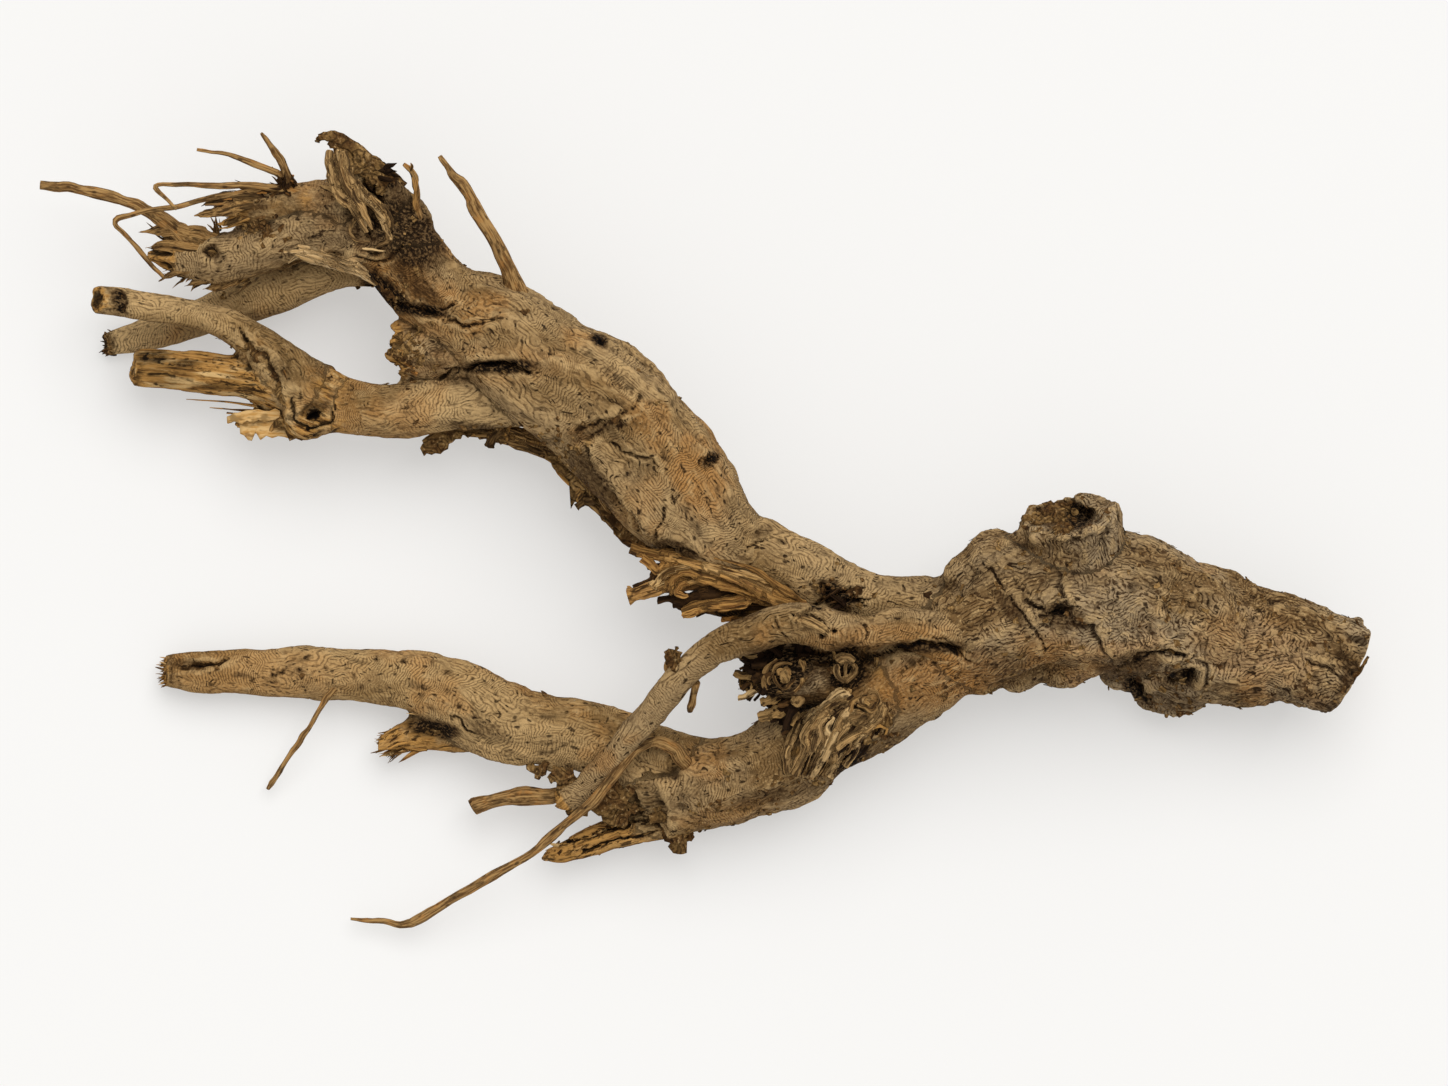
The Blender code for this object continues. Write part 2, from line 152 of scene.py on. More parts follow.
# Splits and folds of the bark seen from above: points, half width, depth and height of the raised lip.
CLEFTS = [
    ([(121, -14), (124.3, -17.3), (130, -26), (134.3, -32.4), (139, -38), (143.2, -43.7), (148.2, -53.8)], 0.8, 2.0, 0.6),
    ([(134, -20), (141, -32), (146, -40)], 0.8, 0.8, 0.6),
    ([(141, -31), (146, -34.5), (152, -36), (157, -40)], 1.5, 3.4, 0.4),
    ([(153, -29), (153, -35)], 0.9, 2.0, 0.5),
    ([(146, -37.6), (152, -36), (160, -33)], 1.0, 2.4, 0.4), ([(149, -42), (152, -36), (157, -30)], 0.8, 2.0, 0.4),
    ([(182, -60), (187, -57), (192, -55), (200, -53.8), (211, -53.8)], 1.7, 4.5, 1.5),
    ([(188, -66), (191, -71.4), (194, -76)], 2.2, 6.0, 1.4),
    ([(76, -55), (84, -51.5), (93, -50.2), (103, -50.6), (110, -53), (115, -57)], 1.7, 6.5, 1.4),
    ([(44, -57), (50, -58.5), (56, -58)], 1.4, 4.0, 0.6),
    ([(96, -46), (103, -47), (111, -53), (114, -58)], 0.6, 1.0, 0.6),
    ([(42, -37), (50, -33), (58, -28), (70, -25)], 1.4, 5.0, 0.5), ([(50, -23), (54, -29), (58, -35)], 1.2, 4.0, 0.5),
    ([(62, -23), (64, -29), (70, -34)], 1.0, 4.0, 0.5), ([(56, -33), (64, -31), (74, -30)], 0.9, 3.0, 0.5),
    ([(-118, 66.5), (-108.6, 69), (-98, 71.5), (-88, 72), (-79, 69.6), (-74, 67)], 1.7, 9.0, 0.6),
    ([(-66.4, 45.7), (-58.2, 43.3), (-50, 45.7), (-41.9, 48), (-34.8, 50.4), (-27.8, 57.4)], 1.2, 1.3, 1.5),
    ([(-51.2, 40.4), (-44.2, 44.5), (-36, 47)], 1.1, 1.6, 0.9),
    ([(-43, 37.5), (-34.8, 34), (-24.3, 30.5), (-17.3, 23.5)], 0.7, 1.6, 0.9),
    ([(-17.3, 16.4), (-13.8, 11.7), (-10.8, 15.3)], 0.6, 1.2, 0.5),
    ([(-17.3, 16.4), (-17.9, 7.1), (-20.8, -2.3), (-20.8, -8.1)], 0.6, 1.4, 0.8),
    ([(-24, -8.5), (-14, -9), (-4, -10.5)], 1.4, 3.0, 0.5),
    ([(13, -12.8), (20, -7), (28.4, -2.3)], 0.7, 1.5, 0.5),
    ([(-146, 151), (-143, 148), (-141, 143)], 2.4, 6.0, 1.0),
    ([(-149, 139), (-146, 136), (-143.5, 131), (-146, 128)], 0.9, 2.2, 1.0),
    ([(-159, 145), (-153, 139), (-148, 132), (-143, 125)], 0.9, 2.2, 1.3),
    ([(-152, 124), (-145, 121.5), (-139.5, 125), (-138, 131)], 0.9, 1.6, 1.4),
    ([(-154, 119), (-143, 117), (-134, 121), (-130, 128)], 0.8, 1.4, 1.0), ([(-128, 143), (-122, 136), (-119, 127)], 0.8, 1.2, 1.0),
    ([(-136, 99.5), (-126, 95.5), (-117, 95), (-108, 98)], 1.6, 4.0, 0.9), ([(-118, 92), (-108, 90), (-98, 89), (-88, 93)], 0.9, 1.8, 0.9),
    ([(36.5, -36.4), (41, -37), (48.5, -39.8), (54, -43.6)], 0.9, 3.6, 0.9), ([(43, -51), (53, -54.5), (60, -53), (66, -51)], 0.8, 1.6, 0.8),
    ([(30, -37), (31, -43), (36, -48)], 0.6, 1.2, 0.6), ([(66, -40), (70, -45), (68, -50)], 0.7, 1.6, 0.8),
    ([(-177, 48.5), (-172, 50.2), (-168.5, 52.5)], 1.6, 4.0, 1.4),
    ([(-182, 58), (-181, 49), (-174, 44), (-165, 47), (-162, 55)], 0.8, 1.6, 1.2),
    ([(-204, 88), (-200, 82), (-197, 77)], 0.8, 1.6, 1.0),
    ([(-257, 105), (-254, 101), (-255, 96.5)], 1.4, 1.0, 0.3),
    ([(-219, 122.5), (-214, 121.5)], 2.0, 6.0, 0.8),
    ([(-231.5, -61.3), (-222.5, -60.5), (-211, -58)], 1.7, 4.0, 0.6),
    ([(78, -85), (74, -88), (69, -91)], 1.3, 3.0, 0.8), ([(-24, -127.4), (-44, -131.4), (-62, -138.4)], 1.0, 3.0, 0.3),
    ([(-22, -133), (-40, -137), (-56, -143)], 0.9, 2.4, 0.3), ([(-34, -129.6), (-52, -134.6), (-66, -141.4)], 0.6, 2.0, 0.3),
    ([(-114, -81), (-107, -85), (-99, -91)], 0.9, 2.0, 0.4),
    ([(205, -57), (213, -56), (219, -60), (220, -67), (214, -73)], 0.7, 0.9, 1.2),
    ([(262, -57), (273, -61), (281, -66)], 0.7, 1.2, 0.6),
    ([(-2.4, 28.6), (-0.8, 32.4)], 0.5, 1.6, 0.2), ([(-0.6, 28.4), (1.2, 33)], 0.5, 1.8, 0.2), ([(1.4, 28.8), (3, 33.4)], 0.5, 1.8, 0.2),
    ([(3.4, 29.4), (4.6, 32.8)], 0.5, 1.6, 0.2),
]

# Bark that ends in a step over barer wood, the raised side on the left of each path: points, height, reach.
LEDGES = [
    ([(153, -12), (155.7, -21), (158.3, -33.6), (162, -39.9), (169.6, -42.4), (173.4, -50), (180, -59), (184, -68)], 1.6, 9),
    ([(-54, 38), (-51.2, 34), (-47.7, 25.8), (-41.9, 20), (-34.8, 11.7), (-29, 3.6), (-22, -7)], 2.8, 8),
    ([(-31, -114), (-28, -121), (-22, -127), (-16.4, -134), (-15.3, -141)], 2.0, 9),
    ([(-203, 88), (-199, 81), (-191, 76), (-186, 66), (-184, 55)], 2.4, 7),
    ([(-165, 152), (-158, 143), (-152, 135), (-149, 127)], 2.0, 5),
]

# Knots, eyes and holes seen from above: x, y, radius, swelling, depth of the eye.
KNOTS = [
    (211, -63.5, 7.5, 2.0, 8.0), (205, -64, 4.5, 1.0, 4.0), (155, -36, 7.0, 1.2, 4.5), (284, -63, 3.2, 0.3, 5.0),
    (61, -63, 5.0, 1.4, 2.4), (67, -79, 4.2, 0.6, 5.0), (60, -45, 5.0, 1.6, 0.5), (55.8, -44.3, 2.4, 0.2, 4.0),
    (51.6, -45.6, 2.6, 0.3, 4.0), (100, -58, 3.0, 0.6, 1.4), (107, -66, 2.4, 0.4, 1.2), (86, -62, 2.4, 0.5, 1.0), (126, -59, 3.2, 0.9, 1.4), (-46, 82.5, 3.4, 0.8, 3.2),
    (1.5, 31.5, 4.6, 0.4, 1.6), (-149.5, 133, 4.6, 1.8, 1.4), (-147, 150.4, 5.6, 0.6, 7.0), (-173, 52, 6.5, 1.6, 3.0),
    (-196, 75.5, 5.0, 1.4, 1.0), (-217, 122, 3.6, 0.5, 5.0), (33, -65, 6.5, 2.2, 1.8), (-37, 45, 3.0, 0.6, 2.0),
    (-28, 57, 4.5, 0.6, 0.8), (-18, 63, 7.0, 1.2, 0.3), (24, -1, 3.2, 0.6, 0.8), (39, -38.5, 2.4, 1.6, 0.4),
    (233, -36, 4.0, 0.6, 0.8), (120, -13, 5.0, 0.8, 0.6), (-92, -72, 3.0, 0.4, 1.0), (-66, 98, 3.2, 0.5, 1.4),
    (-160, -66, 3.5, 1.2, 0.0), (-111, 50, 2.4, 0.3, 0.8), (-246, 76, 3.0, 0.2, 1.0), (-222, 97, 2.2, 0.2, 0.6),
]

# Dark patches seen from above: x, y, length, width, turn in degrees, strength. Most are weathered stains; some are
# painted shadow, under the arched root and under the torn fan's strands.
STAINS_AND_PAINTED_SHADOWS = [
    # (54, -91) is painted shadow: it blackens the wood under the torn fan's strands.
    (57, -29, 13, 7, -30, 1.0), (30, -63, 24, 15, 15, 1.0), (54, -91, 28, 19, -50, 1.0), (8, -34, 20, 8, 0, 1.0),
    # (46, -56) and (72, -56.6) are painted shadow along the underside of the arched root.
    (61.2, -61.2, 13, 14, 0, 1.0), (46, -56, 16, 4.4, -5, 1.0), (72, -56.6, 10, 3, 12, 1.0), (-120, -88, 16, 5, -8, 1.0), (188, -69, 9, 5, -60, 1.0), (-132, 130, 27, 17, -45, 0.93), (-132, 147, 17, 10, -50, 0.7),
    (-150, 130, 15, 10, -50, 0.7), (-140, 104, 17, 7, -38, 1.0), (-124, 96, 15, 4, -8, 1.0), (-166, 136, 14, 12, 0, 0.45),
    (140, -20, 22, 14, -50, 0.35), (160, -12, 26, 12, 0, 0.3), (180, -30, 22, 9, -30, 0.25), (130, -60, 24, 9, -20, 0.5),
    (70, -100, 30, 5, 35, 0.6), (200, -76, 30, 6, 0, 0.6), (250, -74, 34, 5, 5, 0.5), (30, -27, 30, 6, -25, 0.4),
    (-66, 22, 30, 8, -48, 0.8), (-90, 42, 30, 4, -10, 0.8), (-205, 141, 16, 5, 0, 0.7),
    (-108, 66, 10, 4, 0, 0.6), (-243, 76, 9, 4, 0, 0.9), (-229, 73, 9, 2.4, 0, 0.9), (-214, 63, 9, 2, 0, 0.8), (156, -38, 13, 8, -20, 0.75), (186, -60, 18, 8, 15, 0.8),
    (207, -66, 11, 8, 0, 0.6), (2, 31, 6, 3.6, 40, 1.0), (-46, 82.5, 5, 3.5, -30, 1.0), (-90, 71, 22, 4, 2, 1.0),
    (-50, 43, 18, 4, 15, 0.7), (-50, 22, 22, 8, -55, 0.75), (-14, -9, 13, 5, -15, 0.85), (-143, 158, 16, 10, -40, 0.7),
    (-139, 153, 9, 5, -30, 1.0), (-148, 141, 12, 4, -60, 0.55), (-136, 118, 24, 5, -25, 0.5), (-126, 106, 22, 6, -40, 0.75),
    (-217, 122, 6, 4, -20, 0.9), (-205, 132, 26, 5, 3, 0.6), (-257, 100, 3.4, 7.5, 10, 1.0), (-271, 101, 2.4, 6, 10, 0.8), (-266, 83, 6, 6, 20, 0.7),
    (-236, 69, 14, 7, 0, 0.5), (-172, 53, 8, 4, 20, 0.8), (-186, 70, 8, 5, -40, 0.5), (-228, -59.5, 10, 3, -10, 0.75),
    (98, -51, 22, 3.5, 0, 0.9), (62, -57, 10, 4, 0, 0.8), (75, -84, 12, 6, 30, 0.6), (-26, -124, 12, 12, 0, 0.45),
    (31, -116, 30, 4.5, 12, 0.6), (-5, -113, 7, 5, 30, 0.4), (283, -64, 7, 5, 55, 0.85), (273, -78, 16, 3.5, 20, 0.6),
    (123, -22, 14, 9, -50, 0.45), (132, -34, 16, 4, -50, 0.8), (190, -14, 24, 7, -28, 0.25), (162, -20, 20, 9, 0, 0.35),
    (250, -46, 26, 10, -15, 0.25), (-118, 74, 6, 12, 0, 0.5), (-96, -88, 14, 5, -20, 0.6), (-40, -114, 8, 5, 40, 0.5),
    (25, -1, 6, 3, 40, 0.6), (100, -24, 28, 5, -8, 0.45), (-150, 148, 12, 5, -50, 0.6),
    (-167.6, -61.3, 1.8, 1.1, 0, 1), (-144.7, -57.2, 2.8, 1.2, 75, 1), (-133, -58, 1.7, 1.7, 0, 1),
    (-187, -62.5, 4, 1.1, 25, 1), (-183, -65.5, 3.2, 1.1, -45, 1), (-178, -62, 2.8, 1, -30, 1),
    (-190, -64, 2.4, 1, 10, 0.95), (-113, -63, 2.2, 1.4, 0, 1), (-97.6, -60, 2, 1.5, 0, 1), (-84.6, -63.4, 1.6, 1, 0, 0.8),
    (-108, -77.5, 2.2, 1.4, 20, 1), (-101, -82.6, 1.9, 1.5, 0, 1), (-71, -99, 3, 1.1, -30, 0.7), (-86, -97.5, 3.4, 1.1, -5, 0.6),
    (-152, -69, 1.4, 1.2, 0, 0.8), (-155, -64, 1.2, 1.2, 0, 0.8), (-125, -73, 1.4, 1, 0, 0.8), (-62, -95, 2.4, 1.2, 20, 0.6),
]

# Honey-coloured patches, where thin bark lets the wood show through: x, y, length, width, turn, strength.
WARM_SPOTS = [(-3, 22, 14, 22, 20, 0.9), (100, -66, 36, 14, 12, 0.9), (-128, 108, 26, 9, -25, 0.9), (75, -47, 34, 7, 5, 0.6),
              (-92, 72, 40, 10, 0, 0.35), (240, -52, 30, 18, -15, 0.45), (-30, 12, 10, 18, -50, 0.35),
              (-130, 95, 26, 9, -30, 0.6), (8, -125, 26, 6, 12, 0.5), (-200, -64, 52, 13, 0, 0.5)]

# Old cuts and clean breaks across a limb: a point on the face, the way it faces, and how far it reaches.
CUTS = [((-266, 100.8, 45), (-0.62, 0.2, 0.76), 14), ((-253, 71, 27), (-0.94, 0.1, 0.36), 13),
        ((-239, -63, 10), (-0.97, 0, 0.25), 12), ((-266, 82, 7), (-0.9, -0.2, 0.4), 10)]

SAW_POINT, SAW_DIRECTION = (279.6, -59, 35), (0.88, -0.38, -0.3)
SOCKET = (157, 6)

COARSER = 1.0


# ---------------------------------------------------------------------------------------------------------
# Noise, paths and limb coordinates
# ---------------------------------------------------------------------------------------------------------

LATTICE = np.random.default_rng(5).random((64, 64, 64)) * 2 - 1


def value_noise(points):
    """Smooth noise from -1 to 1 at each row of points, with one bump per unit."""
    cell = np.floor(points).astype(int)
    part = points - cell
    part = part ** 3 * (part * (part * 6 - 15) + 10)
    total = np.zeros(len(points))
    for corner in product((0, 1), repeat=3):
        at = (cell + corner) & 63
        weight = np.prod(np.where(corner, part, 1 - part), axis=1)
        total += LATTICE[at[:, 0], at[:, 1], at[:, 2]] * weight
    return total


def layered_noise(points, layers=3):
    return sum(value_noise(points * 2.03 ** n + 17 * n) * 0.5 ** n for n in range(layers))


def cell_walls(points):
    """How near each point is to the wall between two random cells: 0 on the wall, about 0.5 at a cell's middle."""
    cell = np.floor(points).astype(int)
    first = np.full(len(points), 9.0)
    second = np.full(len(points), 9.0)
    for step in product((-1, 0, 1), repeat=3):
        at = (cell + step) & 63
        seed = np.stack([LATTICE[at[:, i], at[:, (i + 1) % 3], at[:, (i + 2) % 3]] for i in range(3)], axis=1)
        away = np.linalg.norm(cell + step + 0.5 + 0.42 * seed - points, axis=1)
        second = np.where(away < first, first, np.minimum(second, away))
        first = np.minimum(first, away)
    return second - first


def ease(value, low, high):
    """0 below low, 1 above high and smooth between."""
    part = np.clip((value - low) / (high - low), 0, 1)
    return part * part * (3 - 2 * part)


def smooth_path(stations, steps=6):
    """A Catmull-Rom curve through the stations, every column (x, y, z, radius) alike."""
    knots = np.array([stations[0], *stations, stations[-1]], float)
    knots[0] = 2 * knots[1] - knots[2]
    knots[-1] = 2 * knots[-2] - knots[-3]
    out = []
    for a, b, c, d in zip(knots, knots[1:], knots[2:], knots[3:]):
        for step in range(steps):
            t = step / steps
            out.append(0.5 * (2 * b + (c - a) * t + (2 * a - 5 * b + 4 * c - d) * t ** 2
                              + (3 * b - a - 3 * c + d) * t ** 3))
    out.append(knots[-2])
    out = np.array(out)
    out[:, 3] = np.maximum(out[:, 3], 0.3)
    return out


class Limb:
    """One limb's centre line, with a frame that doesn't twist, so that grain can run along it."""

    def __init__(self, name, stations, number):
        self.name = name
        self.path = smooth_path(stations)
        self.rugged, self.bare, self.pale = BARK[name]
        self.offset = 400.0 * number
        steps = np.diff(self.path[:, :3], axis=0)
        lengths = np.linalg.norm(steps, axis=1)
        self.reach = np.concatenate([[0], np.cumsum(lengths)])
        unit = steps / lengths[:, None]
        self.along = np.vstack([unit[:1], 0.5 * (unit[1:] + unit[:-1]), unit[-1:]])
        self.along /= np.linalg.norm(self.along, axis=1)[:, None]
        side = np.cross(self.along[0], (0, 0, 1))
        self.side = []
        for along in self.along:
            side = side - along * side.dot(along)
            side /= np.linalg.norm(side)
            self.side.append(side)
        self.side = np.array(self.side)
        self.up = np.cross(self.side, self.along)

    def measure(self, points):
        """For each point: how far outside the limb's skin it is, and its place along and across the limb."""
        low = self.path[:, :3].min(axis=0) - 42
        high = self.path[:, :3].max(axis=0) + 42
        near = np.nonzero(np.all((points > low) & (points < high), axis=1))[0]
        here = points[near]
        skin = np.full(len(near), 1e6)
        pick = np.zeros(len(near), int)
        for index, (x, y, z, radius) in enumerate(self.path):
            away = np.sqrt((here[:, 0] - x) ** 2 + (here[:, 1] - y) ** 2 + (here[:, 2] - z) ** 2) - radius
            closer = away < skin
            skin[closer] = away[closer]
            pick[closer] = index
        from_middle = here - self.path[pick, :3]
        slide = np.einsum("ij,ij->i", from_middle, self.along[pick])
        across = np.stack([np.einsum("ij,ij->i", from_middle, self.side[pick]),
                           np.einsum("ij,ij->i", from_middle, self.up[pick])], axis=1)
        place = np.column_stack([self.reach[pick] + slide, across])
        return near, skin, place, pick


WOOD = {name: Limb(name, stations, number) for number, (name, stations) in enumerate(LIMBS.items())}


def limb_shares(points, limbs, reach=2.5):
    """The limbs near each point, with weights that fade smoothly from one limb to the next at a fork."""
    measured = [limb.measure(points) for limb in limbs]
    nearest = np.full(len(points), 1e6)
    for near, skin, _, _ in measured:
        nearest[near] = np.minimum(nearest[near], skin)
    total = np.zeros(len(points))
    shares = []
    for limb, (near, skin, place, pick) in zip(limbs, measured):
        keep = skin < nearest[near] + 4 * reach
        near, skin, place, pick = near[keep], skin[keep], place[keep], pick[keep]
        weight = np.exp(-(skin - nearest[near]) / reach)
        total[near] += weight
        shares.append([limb, near, weight, place, pick])
    for share in shares:
        share[2] = share[2] / total[share[1]]
    return shares


def plan_distance(points, line):
    """In plan, each point's distance to a line of (x, y) points, its side (1 left, -1 right) and its share along."""
    best = np.full(len(points), 1e6)
    side = np.ones(len(points))
    share = np.zeros(len(points))
    line = np.array(line, float)
    for number, (a, b) in enumerate(zip(line, line[1:])):
        span = b - a
        offset = points[:, :2] - a
        t = np.clip((offset @ span) / (span @ span), 0, 1)
        away = np.linalg.norm(offset - t[:, None] * span, axis=1)
        closer = away < best
        best[closer] = away[closer]
        side[closer] = np.sign(span[0] * offset[closer, 1] - span[1] * offset[closer, 0] + 1e-9)
        share[closer] = (number + t[closer]) / (len(line) - 1)
    return best, side, share


def patch(points, spots, warp=2.5):
    """Soft ellipses in plan, each with a ragged edge; the strongest wins."""
    total = np.zeros(len(points))
    ragged = layered_noise(points / 5.0, 3) * warp
    for x, y, length, width, turn, strength in spots:
        angle = math.radians(turn)
        across = points[:, :2] - (x, y)
        u = (across[:, 0] * math.cos(angle) + across[:, 1] * math.sin(angle)) / (length + 1e-6)
        v = (across[:, 1] * math.cos(angle) - across[:, 0] * math.sin(angle)) / (width + 1e-6)
        away = np.sqrt(u * u + v * v) + ragged * min(1, width / 4) / (length + width)
        total = np.maximum(total, strength * (1 - ease(away, 0.55, 1.15)))
    return total


# ---------------------------------------------------------------------------------------------------------
# The main mesh
# ---------------------------------------------------------------------------------------------------------

def read_points(mesh):
    points = np.empty(len(mesh.vertices) * 3)
    mesh.vertices.foreach_get("co", points)
    normals = np.empty(len(mesh.vertices) * 3)
    mesh.vertex_normals.foreach_get("vector", normals)
    return points.reshape(-1, 3) / MM, normals.reshape(-1, 3)


def write_points(mesh, points):
    mesh.vertices.foreach_set("co", (points * MM).ravel())
    mesh.update()


def link(name, mesh):
    piece = bpy.data.objects.new(name, mesh)
    bpy.context.scene.collection.objects.link(piece)
    return piece


def applied(piece):
    """The piece's mesh with its modifiers applied; the piece keeps it and loses the modifiers."""
    graph = bpy.context.evaluated_depsgraph_get()
    mesh = bpy.data.meshes.new_from_object(piece.evaluated_get(graph))
    old = piece.data
    piece.modifiers.clear()
    piece.data = mesh
    bpy.data.meshes.remove(old)
    return mesh


def curve_tubes(name, paths, sides=16):
    """Closed round tubes along the paths, as one mesh."""
    curve = bpy.data.curves.new(name, "CURVE")
    curve.dimensions = "3D"
    curve.bevel_depth = MM
    curve.bevel_resolution = (sides - 4) // 2
    curve.use_fill_caps = True
    for path in paths:
        spline = curve.splines.new("POLY")
        spline.points.add(len(path) - 1)
        for point, (x, y, z, radius) in zip(spline.points, path):
            point.co = (x * MM, y * MM, z * MM, 1)
            point.radius = radius
    tubes = link(name, curve)
    graph = bpy.context.evaluated_depsgraph_get()
    mesh = bpy.data.meshes.new_from_object(tubes.evaluated_get(graph))
    bpy.data.objects.remove(tubes)
    return mesh


def grow(piece, grid, smoothing):
    """Melts overlapping tubes into one skin."""
    remesh = piece.modifiers.new("grown_together", "REMESH")
    remesh.mode = "VOXEL"
    remesh.voxel_size = grid * MM
    if smoothing:
        smooth = piece.modifiers.new("softened", "SMOOTH")
        smooth.iterations = smoothing
    return applied(piece)


def rough_out(name, limbs, burls, grid):
    """Limbs and burls melted together, then bent out of round."""
    mesh = curve_tubes(name, [limb.path for limb in limbs])
    bm = bmesh.new()
    bm.from_mesh(mesh)
    for x, y, z, radius in burls:
        ball = bmesh.ops.create_icosphere(bm, subdivisions=3, radius=radius * MM)
        bmesh.ops.translate(bm, verts=ball["verts"], vec=Vector((x, y, z)) * MM)
    bm.to_mesh(mesh)
    bm.free()
    piece = link(name, mesh)
    mesh = grow(piece, grid, 5)
    points, normals = read_points(mesh)
    move = np.zeros_like(points)
    for limb, near, weight, place, pick in limb_shares(points, limbs, reach=3.5):
        radius = limb.path[pick, 3]
        seed = place + (limb.offset, 0, 0)
        lumps = layered_noise(seed / (34, 20, 20), 2)
        flutes = value_noise(seed / (55, 9, 9) + 3.3)
        knobs = value_noise(seed / (13, 11, 11) + 8.1)
        swell = radius * (0.085 + 0.05 * limb.rugged) * lumps + (0.8 + 0.035 * radius) * flutes
        swell += 0.035 * radius * knobs
        move[near] += normals[near] * (weight * swell)[:, None]
        torn = TORN_ENDS.get(limb.name, 0)
        if torn:
            beyond = ease(place[:, 0], limb.reach[-1] - 0.35 * torn - 1, limb.reach[-1])
            fingers = value_noise(np.column_stack([place[:, 0] / 30, place[:, 1:] / 3.2]) + 7.7)
            fingers += 0.6 * value_noise(np.column_stack([place[:, 0] / 40, place[:, 1:] / 6.5]) + 2.2)
            shift = (weight * beyond * torn * (fingers - 0.15))[:, None] * limb.along[pick]
            move[near] += shift
    points += move
    write_points(mesh, points)
    return piece


def hollow_socket(points):
    """Sinks the end of the knot stub behind a thick rim, deepest on the side away from the fork."""
    x, y, z = points.T
    ring = np.sqrt(((x - SOCKET[0]) / 15.5) ** 2 + ((y - SOCKET[1]) / 7.8) ** 2) + 0.14 * layered_noise(points / 5, 2)
    inside = (1 - ease(ring, 0.66, 1.0)) * (z > 48)
    depth = 7 + 12 * ease(x, 156, 161) + 1.6 * value_noise(points / 3.2) * (x < 158)
    rim = np.exp(-((ring - 1.22) / 0.22) ** 2) * (z > 52)
    points[:, 2] += rim * (3.2 + 1.2 * value_noise(points / 4.4)) - inside * depth


def fine_relief(points, normals, limbs):
    """Ridges, plates, clefts and knots, as an outward move for each point, with how deep in a cleft it is; the bark's
    finish darkens by that depth as painted shade.
    """
    height = np.zeros(len(points))
    cleft = np.zeros(len(points))
    for limb, near, weight, place, pick in limb_shares(points, limbs):
        radius = limb.path[pick, 3]
        seed = place + (limb.offset, 0, 0)
        bend = np.column_stack([value_noise(seed / 16 + n) for n in (0.5, 20.5, 40.5)]) * 5.0
        ridges = value_noise((seed + bend) / (30, 5.2, 5.2))
        wrinkles = value_noise((seed + bend * 1.5) / (10, 2.6, 2.6) + 5)
        dents = layered_noise(seed / (11, 8, 8) + 15, 2)
        grainy = value_noise(seed / 1.9 + 9)
        split = np.clip(1 - np.abs(value_noise((seed + bend) / (48, 7.5, 7.5) + 31)) / 0.06, 0, 1)
        split *= ease(value_noise(seed / 22 + 60), 0.0, 0.4)
        plates = cell_walls((seed + bend * 0.8) / (13, 9, 9))
        gaps = (1 - ease(plates, 0.03, 0.16)) * ease(value_noise(seed / 19 + 80), 0.05, 0.35)
        slim = np.clip(radius / 14, 0.3, 1)
        rise = slim * (0.6 * ridges + 0.4 * wrinkles + 0.15 * grainy + 0.6 * dents - 0.8 * split)
        rise += limb.rugged * (0.15 * ease(plates, 0.02, 0.3) - 0.1 - 0.35 * gaps + 0.7 * layered_noise(seed / 6 + 12, 3))
        rise += limb.bare * slim * (0.8 * value_noise(seed / (40, 2.6, 2.6) + 51)
                                    - 0.8 * (1 - ease(np.abs(value_noise(seed / (50, 3.6, 3.6) + 71)), 0, 0.16)))
        height[near] += weight * rise
        cleft[near] += weight * np.clip(0.3 * split * slim + 0.25 * gaps * limb.rugged, 0, 1)
    faces_up = ease(normals[:, 2], -0.15, 0.3)
    wander = np.column_stack([value_noise(points / 5 + 3), value_noise(points / 5 + 33), np.zeros(len(points))]) * 1.4
    wander += np.column_stack([value_noise(points / 1.9 + 3), value_noise(points / 1.9 + 33),
                               np.zeros(len(points))]) * 0.55
    uneven = 0.75 + 0.5 * value_noise(points / 4 + 71)
    for line, half_width, depth, lip in CLEFTS:
        away, _, share = plan_distance(points + wander, line)
        taper = np.sin(np.pi * np.clip(0.08 + 0.84 * share, 0, 1)) ** 0.7 * uneven
        cut = np.exp(-(away / (half_width * np.maximum(0.3, taper))) ** 2) * faces_up * ease(taper, 0.1, 0.5)
        bank = np.exp(-((away - 2.6 * half_width) / (1.4 * half_width)) ** 2) * faces_up * taper
        height += lip * bank - depth * cut
        cleft = np.maximum(cleft, cut * min(1, 0.3 + depth / 4))
    for line, rise, reach in LEDGES:
        away, side, share = plan_distance(points + wander, line)
        signed = away * side
        ends = ease(share, 0, 0.15) * (1 - ease(share, 0.85, 1)) * faces_up
        height += rise * ends * ease(signed, -0.5, 0.5) * np.exp(-(away / reach) ** 2)
        height -= 0.6 * rise * ends * (side < 0) * np.exp(-(away / (0.3 * reach)) ** 2)
        # Painted shadow: a dark line along the low side of each ledge's step.
        cleft = np.maximum(cleft, 0.55 * ends * np.exp(-((signed + 0.7) / 0.8) ** 2))
    for x, y, radius, swelling, depth in KNOTS:
        away = np.linalg.norm(points[:, :2] + wander[:, :2] * 0.7 - (x, y), axis=1) / radius
        height += faces_up * (swelling * np.exp(-(away / 1.15) ** 2)
                              + 0.35 * min(1.4, swelling) * np.cos(away * 8) * np.exp(-(away / 1.4) ** 2)
                              - depth * np.exp(-(away / 0.52) ** 2))
        cleft = np.maximum(cleft, faces_up * min(1, depth / 3) * np.exp(-(away / 0.55) ** 2))
    return height, cleft


def sculpt(piece, limbs, grid, most_triangles):
    """A finer skin with the bark's own relief, thinned where it is smooth."""
    mesh = grow(piece, grid, 1)
    points, normals = read_points(mesh)
    height, _ = fine_relief(points, normals, limbs)
    points += normals * height[:, None]
    write_points(mesh, points)
    count = sum(len(face.vertices) - 2 for face in mesh.polygons)
    if count > most_triangles:
        thin = piece.modifiers.new("thinned", "DECIMATE")
        thin.ratio = most_triangles / count
        mesh = applied(piece)
    return mesh


